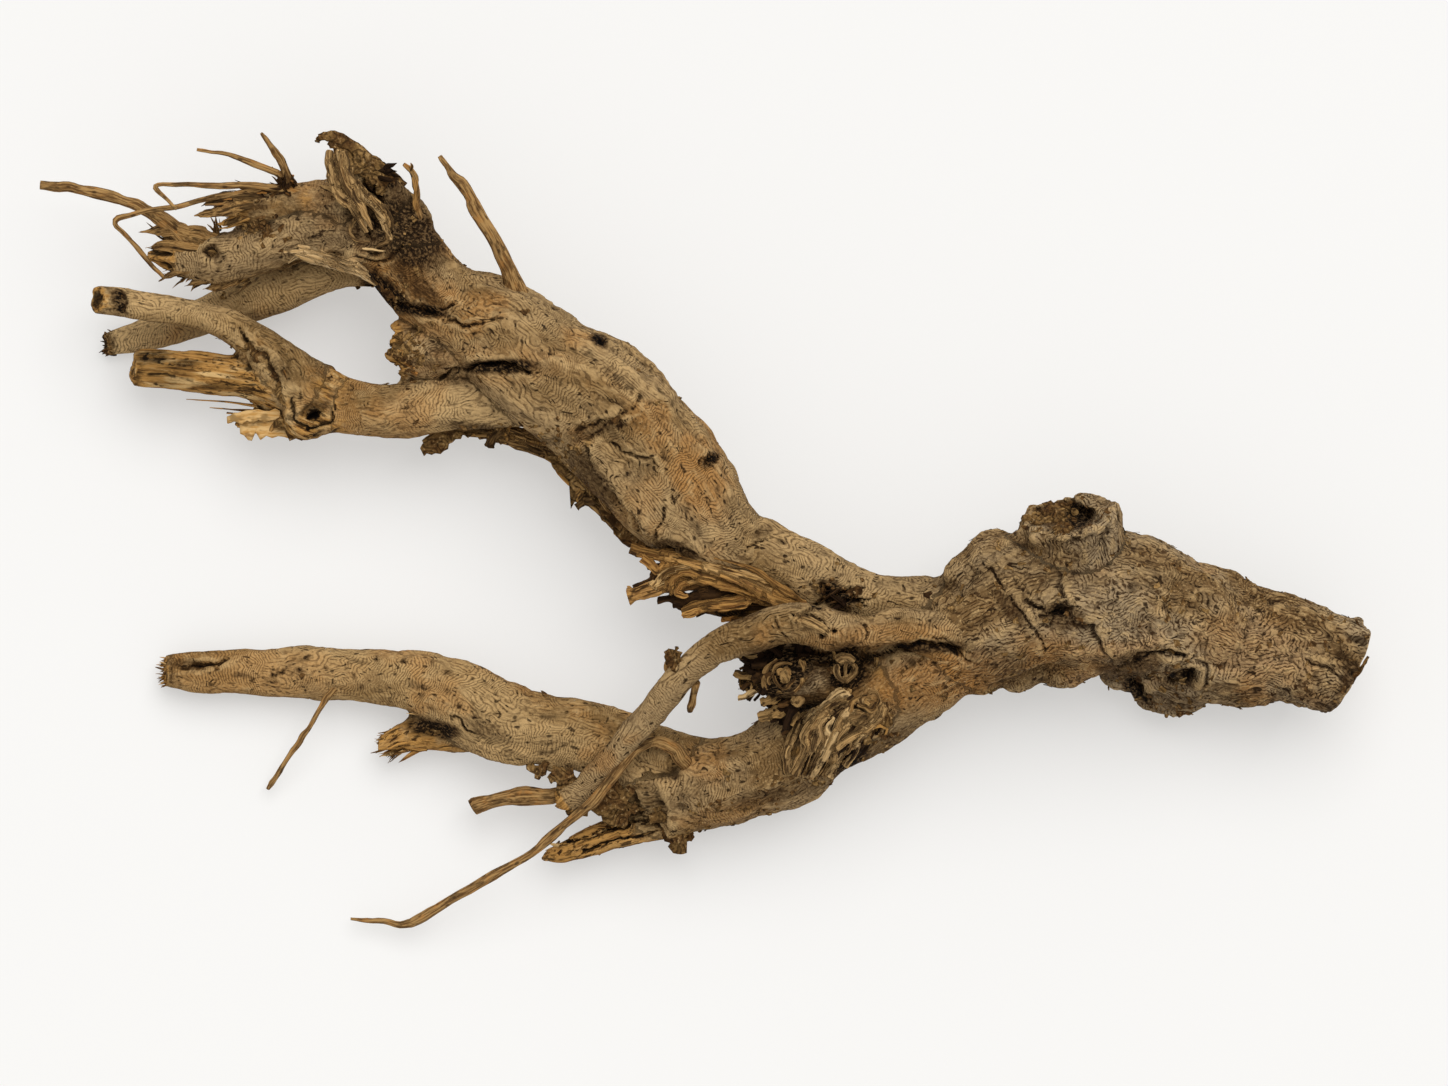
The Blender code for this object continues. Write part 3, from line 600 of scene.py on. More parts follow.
def saw_off(mesh):
    bm = bmesh.new()
    bm.from_mesh(mesh)
    cut = bmesh.ops.bisect_plane(bm, geom=bm.verts[:] + bm.edges[:] + bm.faces[:], dist=1e-6,
                                 plane_co=Vector(SAW_POINT) * MM, plane_no=Vector(SAW_DIRECTION), clear_outer=True)
    rim = [item for item in cut["geom_cut"] if isinstance(item, bmesh.types.BMEdge)]
    caps = bmesh.ops.contextual_create(bm, geom=rim)["faces"]
    for cap in caps:
        cap.material_index = 1
        cap.smooth = False
    caps = bmesh.ops.triangulate(bm, faces=caps)["faces"]
    for edge in rim:
        if edge.is_valid:
            edge.smooth = False
    bm.to_mesh(mesh)
    bm.free()


def neighbour_mean(mesh, values):
    ends = np.empty(len(mesh.edges) * 2, int)
    mesh.edges.foreach_get("vertices", ends)
    a, b = ends.reshape(-1, 2).T
    total = np.zeros_like(values)
    count = np.bincount(ends, minlength=len(values)).astype(float)
    np.add.at(total, a, values[b])
    np.add.at(total, b, values[a])
    return total / np.maximum(count, 1).reshape((-1,) + (1,) * (values.ndim - 1))


def hollowness(mesh, rounds=10):
    """Positive in hollows and negative on ridges, in millimetres, less the roundness of the limb itself."""
    points, normals = read_points(mesh)
    smoothed = points
    total = np.zeros(len(points))
    for step in range(rounds):
        smoothed = neighbour_mean(mesh, smoothed)
        if step in (1, rounds - 1):
            total += np.einsum("ij,ij->i", smoothed - points, normals)
    broad = total
    for _ in range(2 * rounds):
        broad = neighbour_mean(mesh, broad)
    return total - broad


def set_attribute(mesh, name, values):
    kind = "FLOAT_VECTOR" if values.ndim == 2 else "FLOAT"
    layer = mesh.attributes.new(name, kind, "POINT")
    layer.data.foreach_set("vector" if values.ndim == 2 else "value", values.astype(np.float32).ravel())


def mark_finish(mesh, limbs, face, edge):
    """Stores what the finish follows: the grain's direction and where the wood is bare, dark (stains and painted
    shade), warm or pale.
    """
    points, normals = read_points(mesh)
    grain = np.zeros_like(points)
    best = np.zeros(len(points))
    rugged, bare, pale = (np.zeros(len(points)) for _ in range(3))
    for limb, near, weight, place, pick in limb_shares(points, limbs):
        rugged[near] += weight * limb.rugged
        end = limb.reach[-1]
        torn = TORN_ENDS.get(limb.name, 0)
        frayed = ease(place[:, 0], end - 1.2 * torn - 1, end - 0.2 * torn) * (torn > 2)
        bare[near] += weight * np.maximum(limb.bare, 0.9 * frayed)
        pale[near] += weight * limb.pale
        wins = weight > best[near]
        grain[near[wins]] = place[wins] + (limb.offset, 0, 0)
        best[near[wins]] = weight[wins]
    faces_up = ease(normals[:, 2], -0.35, 0.2)
    _, cleft = fine_relief(points, normals, limbs)
    ragged = layered_noise(points / 7 + 4, 3)
    bare = np.maximum(ease(bare + 0.22 * ragged, 0.35, 0.65), face)
    dark = np.maximum(np.maximum(patch(points, STAINS_AND_PAINTED_SHADOWS) * faces_up, 0.85 * edge), 0.35 * ease(layered_noise(points / 13 + 50, 3), 0.5, 0.95))
    warm = np.maximum(patch(points, WARM_SPOTS, 6.0) * faces_up, 0.6 * ease(layered_noise(points / 24 + 90, 3), 0.3, 0.9))
    # Painted shade: the steep and downward-facing sides of the wood are darkened, except on cut faces.
    dark = np.maximum(dark, 0.55 * (1 - ease(normals[:, 2] + 0.12 * ragged, -0.2, 0.62)) * (1 - face))
    # Painted shade: the inside of the knot stub's hollow socket is marked dark, most on the side away from the fork.
    inside = 1 - ease(np.sqrt(((points[:, 0] - SOCKET[0]) / 15) ** 2 + ((points[:, 1] - SOCKET[1]) / 7.6) ** 2), 0.78, 1.0)
    inside *= (0.75 + 0.25 * ease(points[:, 0], 155, 160)) * (points[:, 2] > 45)
    set_attribute(mesh, "grain", grain)
    set_attribute(mesh, "rugged", rugged)
    set_attribute(mesh, "bare", bare)
    set_attribute(mesh, "pale", pale)
    set_attribute(mesh, "warm", warm)
    set_attribute(mesh, "dark", np.clip(np.maximum(dark, inside), 0, 1))
    set_attribute(mesh, "cleft", np.clip(cleft, 0, 1))
    set_attribute(mesh, "hollow", hollowness(mesh))


def smooth_shading(mesh):
    flags = np.array([polygon.material_index == 0 for polygon in mesh.polygons])
    mesh.polygons.foreach_set("use_smooth", flags)


# ---------------------------------------------------------------------------------------------------------
# Finishes
# ---------------------------------------------------------------------------------------------------------

def colour(red, green, blue):
    """A colour given as it looks on a screen, 0 to 255, as the shader's linear value."""
    def linear(value):
        value /= 255
        return value / 12.92 if value <= 0.04045 else ((value + 0.055) / 1.055) ** 2.4
    return (linear(red), linear(green), linear(blue), 1.0)


class Finish:
    """A material being wired up: each call adds one node and returns its output."""

    def __init__(self, name, roughness=0.9, specular=0.06):
        self.material = bpy.data.materials.new(name)
        self.material.use_nodes = True
        self.nodes = self.material.node_tree.nodes
        self.links = self.material.node_tree.links
        self.shader = self.nodes["Principled BSDF"]
        self.shader.inputs["Roughness"].default_value = roughness
        self.shader.inputs["Specular IOR Level"].default_value = specular

    def node(self, kind, settings=None, **inputs):
        made = self.nodes.new(kind)
        for key, value in (settings or {}).items():
            setattr(made, key, value)
        for key, value in inputs.items():
            self.feed(made.inputs[key.replace("_", " ")], value)
        return made

    def feed(self, socket, value):
        if isinstance(value, bpy.types.NodeSocket):
            self.links.new(value, socket)
        else:
            socket.default_value = value

    def attribute(self, name, output="Fac"):
        return self.node("ShaderNodeAttribute", {"attribute_name": name}).outputs[output]

    def math(self, operation, first, second=0.0, third=0.0):
        made = self.node("ShaderNodeMath", {"operation": operation})
        for socket, value in zip(made.inputs, (first, second, third)):
            self.feed(socket, value)
        return made.outputs[0]

    def stretch(self, vector, scale, location=(0, 0, 0)):
        return self.node("ShaderNodeMapping", None, Vector=vector, Scale=scale, Location=location).outputs[0]

    def noise(self, vector, scale=1.0, detail=2.0, roughness=0.5, distortion=0.0):
        return self.node("ShaderNodeTexNoise", None, Vector=vector, Scale=scale, Detail=detail, Roughness=roughness,
                         Distortion=distortion).outputs[0]

    def cells(self, vector, scale=1.0, feature="F1", output="Distance", randomness=1.0):
        return self.node("ShaderNodeTexVoronoi", {"feature": feature}, Vector=vector, Scale=scale,
                         Randomness=randomness).outputs[output]

    def fade(self, value, low, high, start=0.0, end=1.0):
        made = self.node("ShaderNodeMapRange", {"interpolation_type": "SMOOTHSTEP"}, Value=value)
        for key, number in (("From Min", low), ("From Max", high), ("To Min", start), ("To Max", end)):
            self.feed(made.inputs[key], number)
        return made.outputs[0]

    def mix(self, factor, first, second, blend="MIX"):
        made = self.node("ShaderNodeMix", {"data_type": "RGBA", "blend_type": blend})
        for index, value in ((0, factor), (6, first), (7, second)):
            self.feed(made.inputs[index], value)
        return made.outputs[2]

    def ramp(self, value, stops):
        made = self.node("ShaderNodeValToRGB", None, Fac=value)
        slots = made.color_ramp.elements
        while len(slots) < len(stops):
            slots.new(0.5)
        for slot, (place, tint) in zip(slots, stops):
            slot.position = place
            slot.color = tint
        return made.outputs[0]

    def mix_number(self, factor, first, second):
        made = self.node("ShaderNodeMix", {"data_type": "FLOAT"})
        for index, value in ((0, factor), (2, first), (3, second)):
            self.feed(made.inputs[index], value)
        return made.outputs[0]

    def grooves(self, field, waves):
        """Thin grooves where a soft field crosses even steps, so that they run parallel and close into swirls."""
        wave = self.math("SINE", self.math("MULTIPLY", field, waves * 2 * math.pi))
        return self.fade(wave, -0.1, -0.95)

    def turned_patches(self, vector, patches, waves):
        """Little patches of parallel grooves, every patch turned its own way."""
        bent = self.node("ShaderNodeTexNoise", None, Vector=self.stretch(vector, (0.2, 0.2, 0.2)), Scale=1.0, Detail=2.0)
        place = self.node("ShaderNodeVectorMath", {"operation": "MULTIPLY_ADD"})
        for socket, value in zip(place.inputs, (bent.outputs["Color"], (3.5, 3.5, 3.5), vector)):
            self.feed(socket, value)
        own = self.node("ShaderNodeSeparateColor", None, Color=self.cells(place.outputs[0], patches, output="Color"))
        turned = self.node("ShaderNodeVectorRotate", {"rotation_type": "EULER_XYZ"}, Vector=place.outputs[0])
        angles = self.node("ShaderNodeCombineXYZ")
        for socket, value in zip(angles.inputs, own.outputs):
            self.feed(socket, self.math("MULTIPLY", value, 2 * math.pi))
        self.feed(turned.inputs["Rotation"], angles.outputs[0])
        across = self.node("ShaderNodeSeparateXYZ", None, Vector=turned.outputs[0]).outputs[0]
        return self.grooves(across, waves)

    def bump(self, height, distance, strength=1.0, under=None):
        made = self.node("ShaderNodeBump", None, Height=height, Distance=distance, Strength=strength)
        if under is not None:
            self.feed(made.inputs["Normal"], under)
        return made.outputs[0]

    def done(self, tint, normal):
        self.feed(self.shader.inputs["Base Color"], tint)
        self.feed(self.shader.inputs["Normal"], normal)
        return self.material


PALE_TAN, TAN, OLIVE_TAN = colour(214, 178, 124), colour(170, 133, 82), colour(130, 100, 58)
GREY_BARK, BROWN_BARK, DEEP_BROWN = colour(166, 144, 112), colour(96, 67, 36), colour(40, 25, 12)
HONEY, GROOVE_BROWN, NEAR_BLACK = colour(182, 126, 64), colour(72, 49, 27), colour(10, 6, 4)
BARE_GOLD, BARE_PALE, BARE_BROWN = colour(188, 140, 76), colour(214, 176, 118), colour(108, 70, 34)


def bark_finish():
    """Thin weathered bark: swirling wrinkles, pits and lenticels, scaly on the trunk, worn to bare wood at the tears."""
    f = Finish("weathered_bark")
    grain = f.attribute("grain", "Vector")
    rugged, bare, pale = f.attribute("rugged"), f.attribute("bare"), f.attribute("pale")
    dark, warm, cleft, hollow = f.attribute("dark"), f.attribute("warm"), f.attribute("cleft"), f.attribute("hollow")

    fine = f.noise(f.stretch(grain, (0.6, 0.9, 0.9)), 1.0, 5.0, 0.62)
    mottle = f.noise(f.stretch(grain, (0.07, 0.11, 0.11), (3, 8, 5)), 1.0, 5.0, 0.62)
    broad = f.noise(f.stretch(grain, (0.014, 0.026, 0.026), (7, 1, 2)), 1.0, 4.0, 0.55)
    zones = f.noise(f.stretch(grain, (0.05, 0.06, 0.06), (9, 4, 1)), 1.0, 2.0, 0.5)

    parts = f.node("ShaderNodeSeparateXYZ", None, Vector=grain).outputs
    drift = f.noise(f.stretch(grain, (0.03, 0.05, 0.05)), 1.0, 3.0, 0.5)
    lengthwise = f.grooves(f.math("MULTIPLY_ADD", parts[1], 0.05, drift), 12.0)
    crosswise = f.grooves(f.math("MULTIPLY_ADD", parts[0], 0.06, f.math("MULTIPLY", drift, 1.6)), 12.0)
    swirls = f.grooves(f.noise(f.stretch(grain, (0.05, 0.08, 0.08), (4, 0, 6)), 1.0, 1.5, 0.5), 16.0)
    weave = f.turned_patches(grain, 0.13, 0.7)
    wrinkles = f.mix_number(f.fade(zones, 0.46, 0.54), crosswise, lengthwise)
    wrinkles = f.mix_number(f.fade(zones, 0.6, 0.56), swirls, wrinkles)
    scales = f.mix_number(f.fade(zones, 0.38, 0.44), swirls, weave)
    wrinkles = f.mix_number(f.fade(rugged, 0.35, 0.75), wrinkles, scales)
    wrinkles = f.math("MULTIPLY", wrinkles, f.fade(mottle, 0.36, 0.52, 0.45, 1.0))
    wrinkles = f.math("MULTIPLY", wrinkles, f.fade(fine, 0.66, 0.45, 0.4, 1.0))

    wavy = f.node("ShaderNodeTexNoise", None, Vector=f.stretch(grain, (0.1, 0.1, 0.1)), Scale=1.0, Detail=1.0)
    pit_place = f.node("ShaderNodeVectorMath", {"operation": "ADD"}).outputs[0]
    f.feed(pit_place.node.inputs[0], f.stretch(grain, (0.15, 0.24, 0.24), (1, 2, 3)))
    f.feed(pit_place.node.inputs[1], wavy.outputs["Color"])
    present = f.node("ShaderNodeSeparateColor", None, Color=f.cells(pit_place, output="Color")).outputs[0]
    crowd = f.fade(f.noise(f.stretch(grain, (0.04, 0.05, 0.05), (2, 2, 7))), 0.4, 0.62, 0.25, 0.6)
    pits = f.math("MULTIPLY", f.fade(f.cells(pit_place), 0.09, 0.23, 1.0, 0.0), f.math("LESS_THAN", present, crowd))
    tiny = f.fade(f.cells(f.stretch(grain, (0.34, 0.5, 0.5), (5, 5, 5))), 0.1, 0.24, 1.0, 0.0)
    tiny = f.math("MULTIPLY", tiny, f.fade(f.noise(f.stretch(grain, (0.07, 0.07, 0.07), (2, 2, 7))), 0.48, 0.6))
    dashes = f.math("MULTIPLY", swirls, f.fade(f.noise(f.stretch(grain, (0.22, 0.3, 0.3), (6, 1, 8)), 1.0, 2.0), 0.6, 0.66))
    pits = f.math("MAXIMUM", f.math("MAXIMUM", pits, dashes), f.math("MULTIPLY", tiny, 0.75))

    crackle = f.fade(f.cells(f.stretch(grain, (0.13, 0.2, 0.2), (4, 9, 2)), feature="DISTANCE_TO_EDGE"),
                     0.0, 0.05, 1.0, 0.0)
    crackle = f.math("MULTIPLY", f.math("MULTIPLY", crackle, rugged),
                     f.fade(f.noise(f.stretch(grain, (0.06, 0.06, 0.06), (6, 6, 6))), 0.5, 0.62))

    tone = f.mix(f.fade(mottle, 0.36, 0.62), OLIVE_TAN, TAN)
    tone = f.mix(f.math("MULTIPLY", pale, f.fade(broad, 0.34, 0.6, 0.25, 0.85)), tone, PALE_TAN)
    tone = f.mix(f.math("MULTIPLY", rugged, f.fade(broad, 0.36, 0.6, 0.4, 0.9)), tone, GREY_BARK)
    tone = f.mix(f.fade(broad, 0.52, 0.36, 0.0, f.fade(pale, 1.0, 1.5, 0.6, 0.0)), tone, OLIVE_TAN)
    tone = f.mix(f.math("MULTIPLY", rugged, f.fade(broad, 0.5, 0.34, 0.0, 0.5)), tone, BROWN_BARK)
    tone = f.mix(f.math("MULTIPLY", f.fade(mottle, 0.44, 0.3, 0.0, 0.5), f.fade(pale, 0.0, 0.9, 1.0, 0.4)), tone,
                 BROWN_BARK)
    tone = f.mix(f.math("MULTIPLY", warm, f.fade(mottle, 0.3, 0.6, 0.4, 0.8)), tone, HONEY)
    tone = f.mix(f.fade(mottle, 0.52, 0.78, 0.0, 0.3), tone, PALE_TAN)
    tone = f.mix(f.fade(fine, 0.48, 0.34, 0.0, 0.45), tone, BROWN_BARK)
    tone = f.mix(f.fade(fine, 0.52, 0.72, 0.0, f.fade(rugged, 0.2, 0.9, 0.35, 0.7)), tone, PALE_TAN)
    tone = f.mix(f.math("MULTIPLY", wrinkles, f.fade(rugged, 0.05, 0.9, 0.55, 0.95)), tone, GROOVE_BROWN)
    # Painted highlight and painted shade from the hollow mask: ridges paler, hollows deep brown.
    tone = f.mix(f.fade(hollow, -0.15, -1.0, 0.0, 0.45), tone, PALE_TAN)
    tone = f.mix(f.fade(hollow, 0.25, 1.3, 0.0, 0.8), tone, DEEP_BROWN)
    tone = f.mix(f.math("MULTIPLY", crackle, 0.4), tone, GROOVE_BROWN)
    tone = f.mix(f.math("MULTIPLY", pits, f.fade(pale, 0.5, 0.9, 0.9, 0.6)), tone, DEEP_BROWN)
    # The dark mask holds weathered stains, painted shadow and painted shade; these lines paint it brown and deep brown.
    tone = f.mix(f.fade(dark, 0.35, 0.9, 0.0, 0.65), tone, BROWN_BARK)
    tone = f.mix(f.math("MULTIPLY", dark, f.fade(fine, 0.68, 0.36, 0.35, 0.95)), tone, DEEP_BROWN)
    # Painted shade: the bark darkens to deep brown and near black in splits, clefts, knot eyes and under ledges, by the
    # cleft mask.
    edge = f.math("ADD", cleft, f.fade(fine, 0.3, 0.7, 0.2, -0.2))
    tone = f.mix(f.fade(edge, 0.2, 0.6, 0.0, 0.75), tone, DEEP_BROWN)
    tone = f.mix(f.fade(edge, 0.55, 0.9, 0.0, 0.95), tone, NEAR_BLACK)

    fibres = f.noise(f.stretch(grain, (0.03, 0.85, 0.85), (1, 1, 9)), 1.0, 4.0, 0.65)
    streaks = f.noise(f.stretch(grain, (0.035, 0.3, 0.3), (8, 3, 3)), 1.0, 3.0, 0.6)
    flecks = f.fade(f.noise(f.stretch(grain, (0.16, 0.5, 0.5), (2, 8, 1)), 1.0, 3.0, 0.7), 0.53, 0.6)
    wood = f.mix(f.fade(fibres, 0.32, 0.54), BARE_BROWN, BARE_GOLD)
    wood = f.mix(f.math("MULTIPLY", pale, f.fade(streaks, 0.5, 0.66)), wood, BARE_PALE)
    wood = f.mix(f.fade(streaks, 0.46, 0.36, 0.0, 0.85), wood, DEEP_BROWN)
    wood = f.mix(f.math("MULTIPLY", flecks, f.fade(broad, 0.4, 0.56, 0.2, 0.85)), wood, DEEP_BROWN)
    # Stains, painted shadow and painted shade from the dark mask, on bare wood.
    wood = f.mix(f.math("MULTIPLY", dark, 0.8), wood, DEEP_BROWN)
    # Painted shade: bare wood goes near black in its hollows.
    wood = f.mix(f.fade(hollow, 0.15, 0.9, 0.0, 0.9), wood, NEAR_BLACK)
    # Painted shade: bare wood goes near black in its clefts.
    wood = f.mix(f.fade(edge, 0.4, 0.85, 0.0, 0.95), wood, NEAR_BLACK)
    tone = f.mix(bare, tone, wood)
    # The darkest of the dark mask, stains and painted shade alike, goes near black.
    tone = f.mix(f.fade(f.math("MULTIPLY", dark, f.fade(fine, 0.7, 0.45, 0.6, 1.0)), 0.78, 1.0, 0.0, 0.9), tone, NEAR_BLACK)

    relief = f.math("MULTIPLY_ADD", wrinkles, -0.6, f.math("MULTIPLY", fine, 2.2))
    relief = f.math("MULTIPLY_ADD", pits, -1.3, relief)
    relief = f.math("MULTIPLY_ADD", crackle, -0.9, relief)
    fibre_relief = f.math("MULTIPLY_ADD", fibres, 2.2, f.math("MULTIPLY", streaks, 2.0))
    return f.done(tone, f.bump(f.mix_number(bare, relief, fibre_relief), 0.55 * MM))


def splinter_finish(name, middle, brown, pale, darkest=0.35):
    """Bare torn wood: fine fibres along each strand, every strand its own tone, dark streaks and dirty patches."""
    f = Finish(name, 0.85, 0.08)
    along, own = f.attribute("strand", "Vector"), f.attribute("own_tone")
    fibres = f.noise(f.stretch(along, (0.06, 1.7, 1.7)), 1.0, 4.0, 0.65)
    streaks = f.noise(f.stretch(along, (0.03, 0.5, 0.5), (3, 1, 2)), 1.0, 3.0, 0.6)
    dirt = f.noise(f.stretch(along, (0.14, 0.4, 0.4), (7, 5, 2)), 1.0, 3.0, 0.6)
    tone = f.mix(f.fade(fibres, 0.36, 0.6), brown, middle)
    tone = f.mix(f.math("MULTIPLY", f.fade(own, 0.55, 0.95), f.fade(streaks, 0.36, 0.56)), tone, pale)
    tone = f.mix(f.fade(own, darkest, 0.0, 0.0, 0.75), tone, DEEP_BROWN)
    tone = f.mix(f.fade(streaks, 0.5, 0.38, 0.0, 0.8), tone, DEEP_BROWN)
    tone = f.mix(f.fade(dirt, 0.47, 0.34, 0.0, 0.85), tone, DEEP_BROWN)
    return f.done(tone, f.bump(f.math("MULTIPLY_ADD", streaks, 1.4, fibres), 0.6 * MM))


def flake_finish():
    """Loose bark: grey-brown with fine dark lines, dark patches and pale flecks."""
    f = Finish("loose_bark")
    place = f.node("ShaderNodeTexCoord").outputs["Object"]
    big = f.noise(f.stretch(place, (90, 90, 90)), 1.0, 3.0, 0.6)
    small = f.noise(f.stretch(place, (700, 700, 700)), 1.0, 4.0, 0.65)
    lines = f.grooves(f.noise(f.stretch(place, (110, 110, 110), (0.4, 0.2, 0)), 1.0, 1.5, 0.4), 9.0)
    tone = f.mix(f.fade(big, 0.38, 0.62), BROWN_BARK, OLIVE_TAN)
    tone = f.mix(f.fade(big, 0.56, 0.68, 0.0, 0.7), tone, TAN)
    tone = f.mix(f.fade(small, 0.5, 0.36, 0.0, 0.7), tone, DEEP_BROWN)
    tone = f.mix(f.fade(small, 0.56, 0.7, 0.0, 0.6), tone, PALE_TAN)
    tone = f.mix(f.math("MULTIPLY", lines, 0.6), tone, DEEP_BROWN)
    tone = f.mix(f.fade(big, 0.42, 0.3, 0.0, 0.85), tone, DEEP_BROWN)
    return f.done(tone, f.bump(f.math("MULTIPLY_ADD", lines, -0.5, small), 0.5 * MM))


def slab_finish():
    """A thin slab of clean pale wood with golden fibres and olive and brown blotches."""
    f = Finish("pale_inner_wood", 0.8, 0.1)
    place = f.node("ShaderNodeTexCoord").outputs["Object"]
    fibres = f.noise(f.stretch(place, (60, 800, 800)), 1.0, 4.0, 0.6)
    blotches = f.noise(f.stretch(place, (70, 160, 160), (3, 3, 3)), 1.0, 3.0, 0.6)
    tone = f.mix(f.fade(fibres, 0.36, 0.62), BARE_GOLD, BARE_PALE)
    tone = f.mix(f.fade(blotches, 0.46, 0.36, 0.0, 0.8), tone, OLIVE_TAN)
    tone = f.mix(f.fade(blotches, 0.58, 0.68, 0.0, 0.7), tone, BARE_BROWN)
    return f.done(tone, f.bump(fibres, 0.4 * MM))


def rootlet_finish():
    """Thin dry rind with lengthwise creases and small dark nodes."""
    f = Finish("rootlet_rind", 0.85, 0.1)
    along = f.attribute("strand", "Vector")
    creases = f.noise(f.stretch(along, (0.09, 1.3, 1.3)), 1.0, 3.0, 0.6)
    blotches = f.noise(f.stretch(along, (0.13, 0.3, 0.3), (3, 3, 3)), 1.0, 3.0, 0.6)
    nodes = f.fade(f.cells(f.stretch(along, (0.16, 0.3, 0.3))), 0.12, 0.26, 1.0, 0.0)
    tone = f.mix(f.fade(creases, 0.38, 0.62), BROWN_BARK, TAN)
    tone = f.mix(f.fade(blotches, 0.54, 0.68, 0.0, 0.5), tone, HONEY)
    tone = f.mix(f.fade(blotches, 0.46, 0.34, 0.0, 0.6), tone, DEEP_BROWN)
    tone = f.mix(f.math("MULTIPLY", nodes, 0.7), tone, DEEP_BROWN)
    return f.done(tone, f.bump(creases, 0.4 * MM))


def sawn_finish():
    """End grain: growth rings round the pith, dark flecks across them and darker bark at the rim."""
    f = Finish("sawn_end_grain")
    place = f.node("ShaderNodeTexCoord").outputs["Object"]
    centred = f.node("ShaderNodeMapping", {"vector_type": "TEXTURE"}, Vector=place,
                     Location=Vector(SAW_POINT) * MM).outputs[0]
    distance = f.node("ShaderNodeVectorMath", {"operation": "LENGTH"}, Vector=centred).outputs["Value"]
    wobble = f.noise(place, 60.0, 3.0, 0.5)
    rings = f.math("SINE", f.math("MULTIPLY_ADD", distance, 2 * math.pi / (2.1 * MM), f.math("MULTIPLY", wobble, 9.0)))
    rays = f.noise(f.stretch(place, (260, 260, 260)), 1.0, 3.0, 0.6)
    rim = f.fade(distance, 17 * MM, 22 * MM)
    tone = f.mix(f.fade(rings, -0.8, 0.8, 0.1, 0.75), colour(196, 160, 112), colour(140, 104, 66))
    tone = f.mix(f.fade(rays, 0.52, 0.68, 0.0, 0.6), tone, DEEP_BROWN)
    tone = f.mix(f.math("MULTIPLY", rim, 0.8), tone, BROWN_BARK)
    return f.done(tone, f.bump(f.math("MULTIPLY_ADD", rings, 0.4, rays), 0.4 * MM))


# ---------------------------------------------------------------------------------------------------------
# Splinters, flakes and rootlets
# ---------------------------------------------------------------------------------------------------------

def blade_profile(name, corners):
    """A flattish cross-section with sharp corners, so that a strand looks riven."""
    rng = np.random.default_rng(corners)
    curve = bpy.data.curves.new(name, "CURVE")
    spline = curve.splines.new("POLY")
    spline.points.add(corners - 1)
    for number, point in enumerate(spline.points):
        angle = 2 * math.pi * number / corners
        reach = rng.uniform(0.72, 1.08)
        point.co = (reach * math.cos(angle) * MM, 0.62 * reach * math.sin(angle) * MM, 0, 1)
    spline.use_cyclic_u = True
    return link(name, curve)


def strand_mesh(name, strands, profile=None, sides=8, roughness=0.12, smooth=False, gnarl=0.0):
    """Closed strands, each along its own path of (x, y, z, radius, tilt), with a grain that runs along each."""
    if gnarl:
        strands = [gnarled(strand, gnarl, 3.1 * number) for number, strand in enumerate(strands)]
    curve = bpy.data.curves.new(name, "CURVE")
    curve.dimensions = "3D"
    curve.use_fill_caps = True
    if profile:
        curve.bevel_mode = "OBJECT"
        curve.bevel_object = profile
    else:
        curve.bevel_depth = MM
        curve.bevel_resolution = (sides - 4) // 2
    for strand in strands:
        spline = curve.splines.new("POLY")
        spline.points.add(len(strand) - 1)
        for point, (x, y, z, radius, tilt) in zip(spline.points, strand):
            point.co = (x * MM, y * MM, z * MM, 1)
            point.radius = radius
            point.tilt = tilt
    tubes = link(name, curve)
    graph = bpy.context.evaluated_depsgraph_get()
    mesh = bpy.data.meshes.new_from_object(tubes.evaluated_get(graph))
    bpy.data.objects.remove(tubes)
    bm = bmesh.new()
    bm.from_mesh(mesh)
    bmesh.ops.remove_doubles(bm, verts=bm.verts, dist=0.004 * MM)
    bmesh.ops.recalc_face_normals(bm, faces=bm.faces)
    bm.to_mesh(mesh)
    bm.free()
    points, normals = read_points(mesh)
    coordinates = mark_strands(mesh, points, strands)
    points += normals * (roughness * layered_noise(coordinates / (4, 0.9, 0.9), 3))[:, None]
    write_points(mesh, points)
    mesh.polygons.foreach_set("use_smooth", [smooth] * len(mesh.polygons))
    return mesh


def gnarled(strand, amount, seed):
    """The same strand with small bends and swellings, as weather leaves it."""
    rows = np.array(strand)
    bends = np.column_stack([value_noise(rows[:, :3] / 5.5 + seed + n) for n in (0.3, 9.3, 19.3)])
    rows[:, :3] += amount * bends * (0.3 + rows[:, 3:4] * 0.4)
    rows[:, 3] *= 1 + 0.35 * amount * value_noise(rows[:, :3] / 3.2 + seed)
    return [tuple(row) for row in rows]


def mark_strands(mesh, points, strands):
    """Stores, for each point, how far along its strand it is and where it lies across it."""
    middles, reach, along = [], [], []
    for number, strand in enumerate(strands):
        path = np.array(strand)[:, :3]
        middles.append(path)
        reach.append(np.concatenate([[0], np.cumsum(np.linalg.norm(np.diff(path, axis=0), axis=1))]) + 61.0 * number)
        step = np.gradient(path, axis=0)
        along.append(step / (np.linalg.norm(step, axis=1) + 1e-9)[:, None])
    middles, reach, along = np.concatenate(middles), np.concatenate(reach), np.concatenate(along)
    side = np.cross(along, (0.05, 0.1, 1.0))
    side /= np.linalg.norm(side, axis=1)[:, None]
    up = np.cross(side, along)
    coordinates = np.empty((len(points), 3))
    for start in range(0, len(points), 3000):
        here = points[start:start + 3000]
        pick = np.linalg.norm(here[:, None, :] - middles[None, :, :], axis=2).argmin(axis=1)
        offset = here - middles[pick]
        coordinates[start:start + 3000] = np.column_stack([
            reach[pick] + np.einsum("ij,ij->i", offset, along[pick]),
            np.einsum("ij,ij->i", offset, side[pick]) + 0.37 * (reach[pick] // 61.0),
            np.einsum("ij,ij->i", offset, up[pick])])
    number = np.floor((coordinates[:, 0] + 20) / 61.0)
    set_attribute(mesh, "strand", coordinates)
    set_attribute(mesh, "own_tone", np.abs(np.sin(number * 12.9898 + 4.1) * 43758.5453) % 1)
    return coordinates


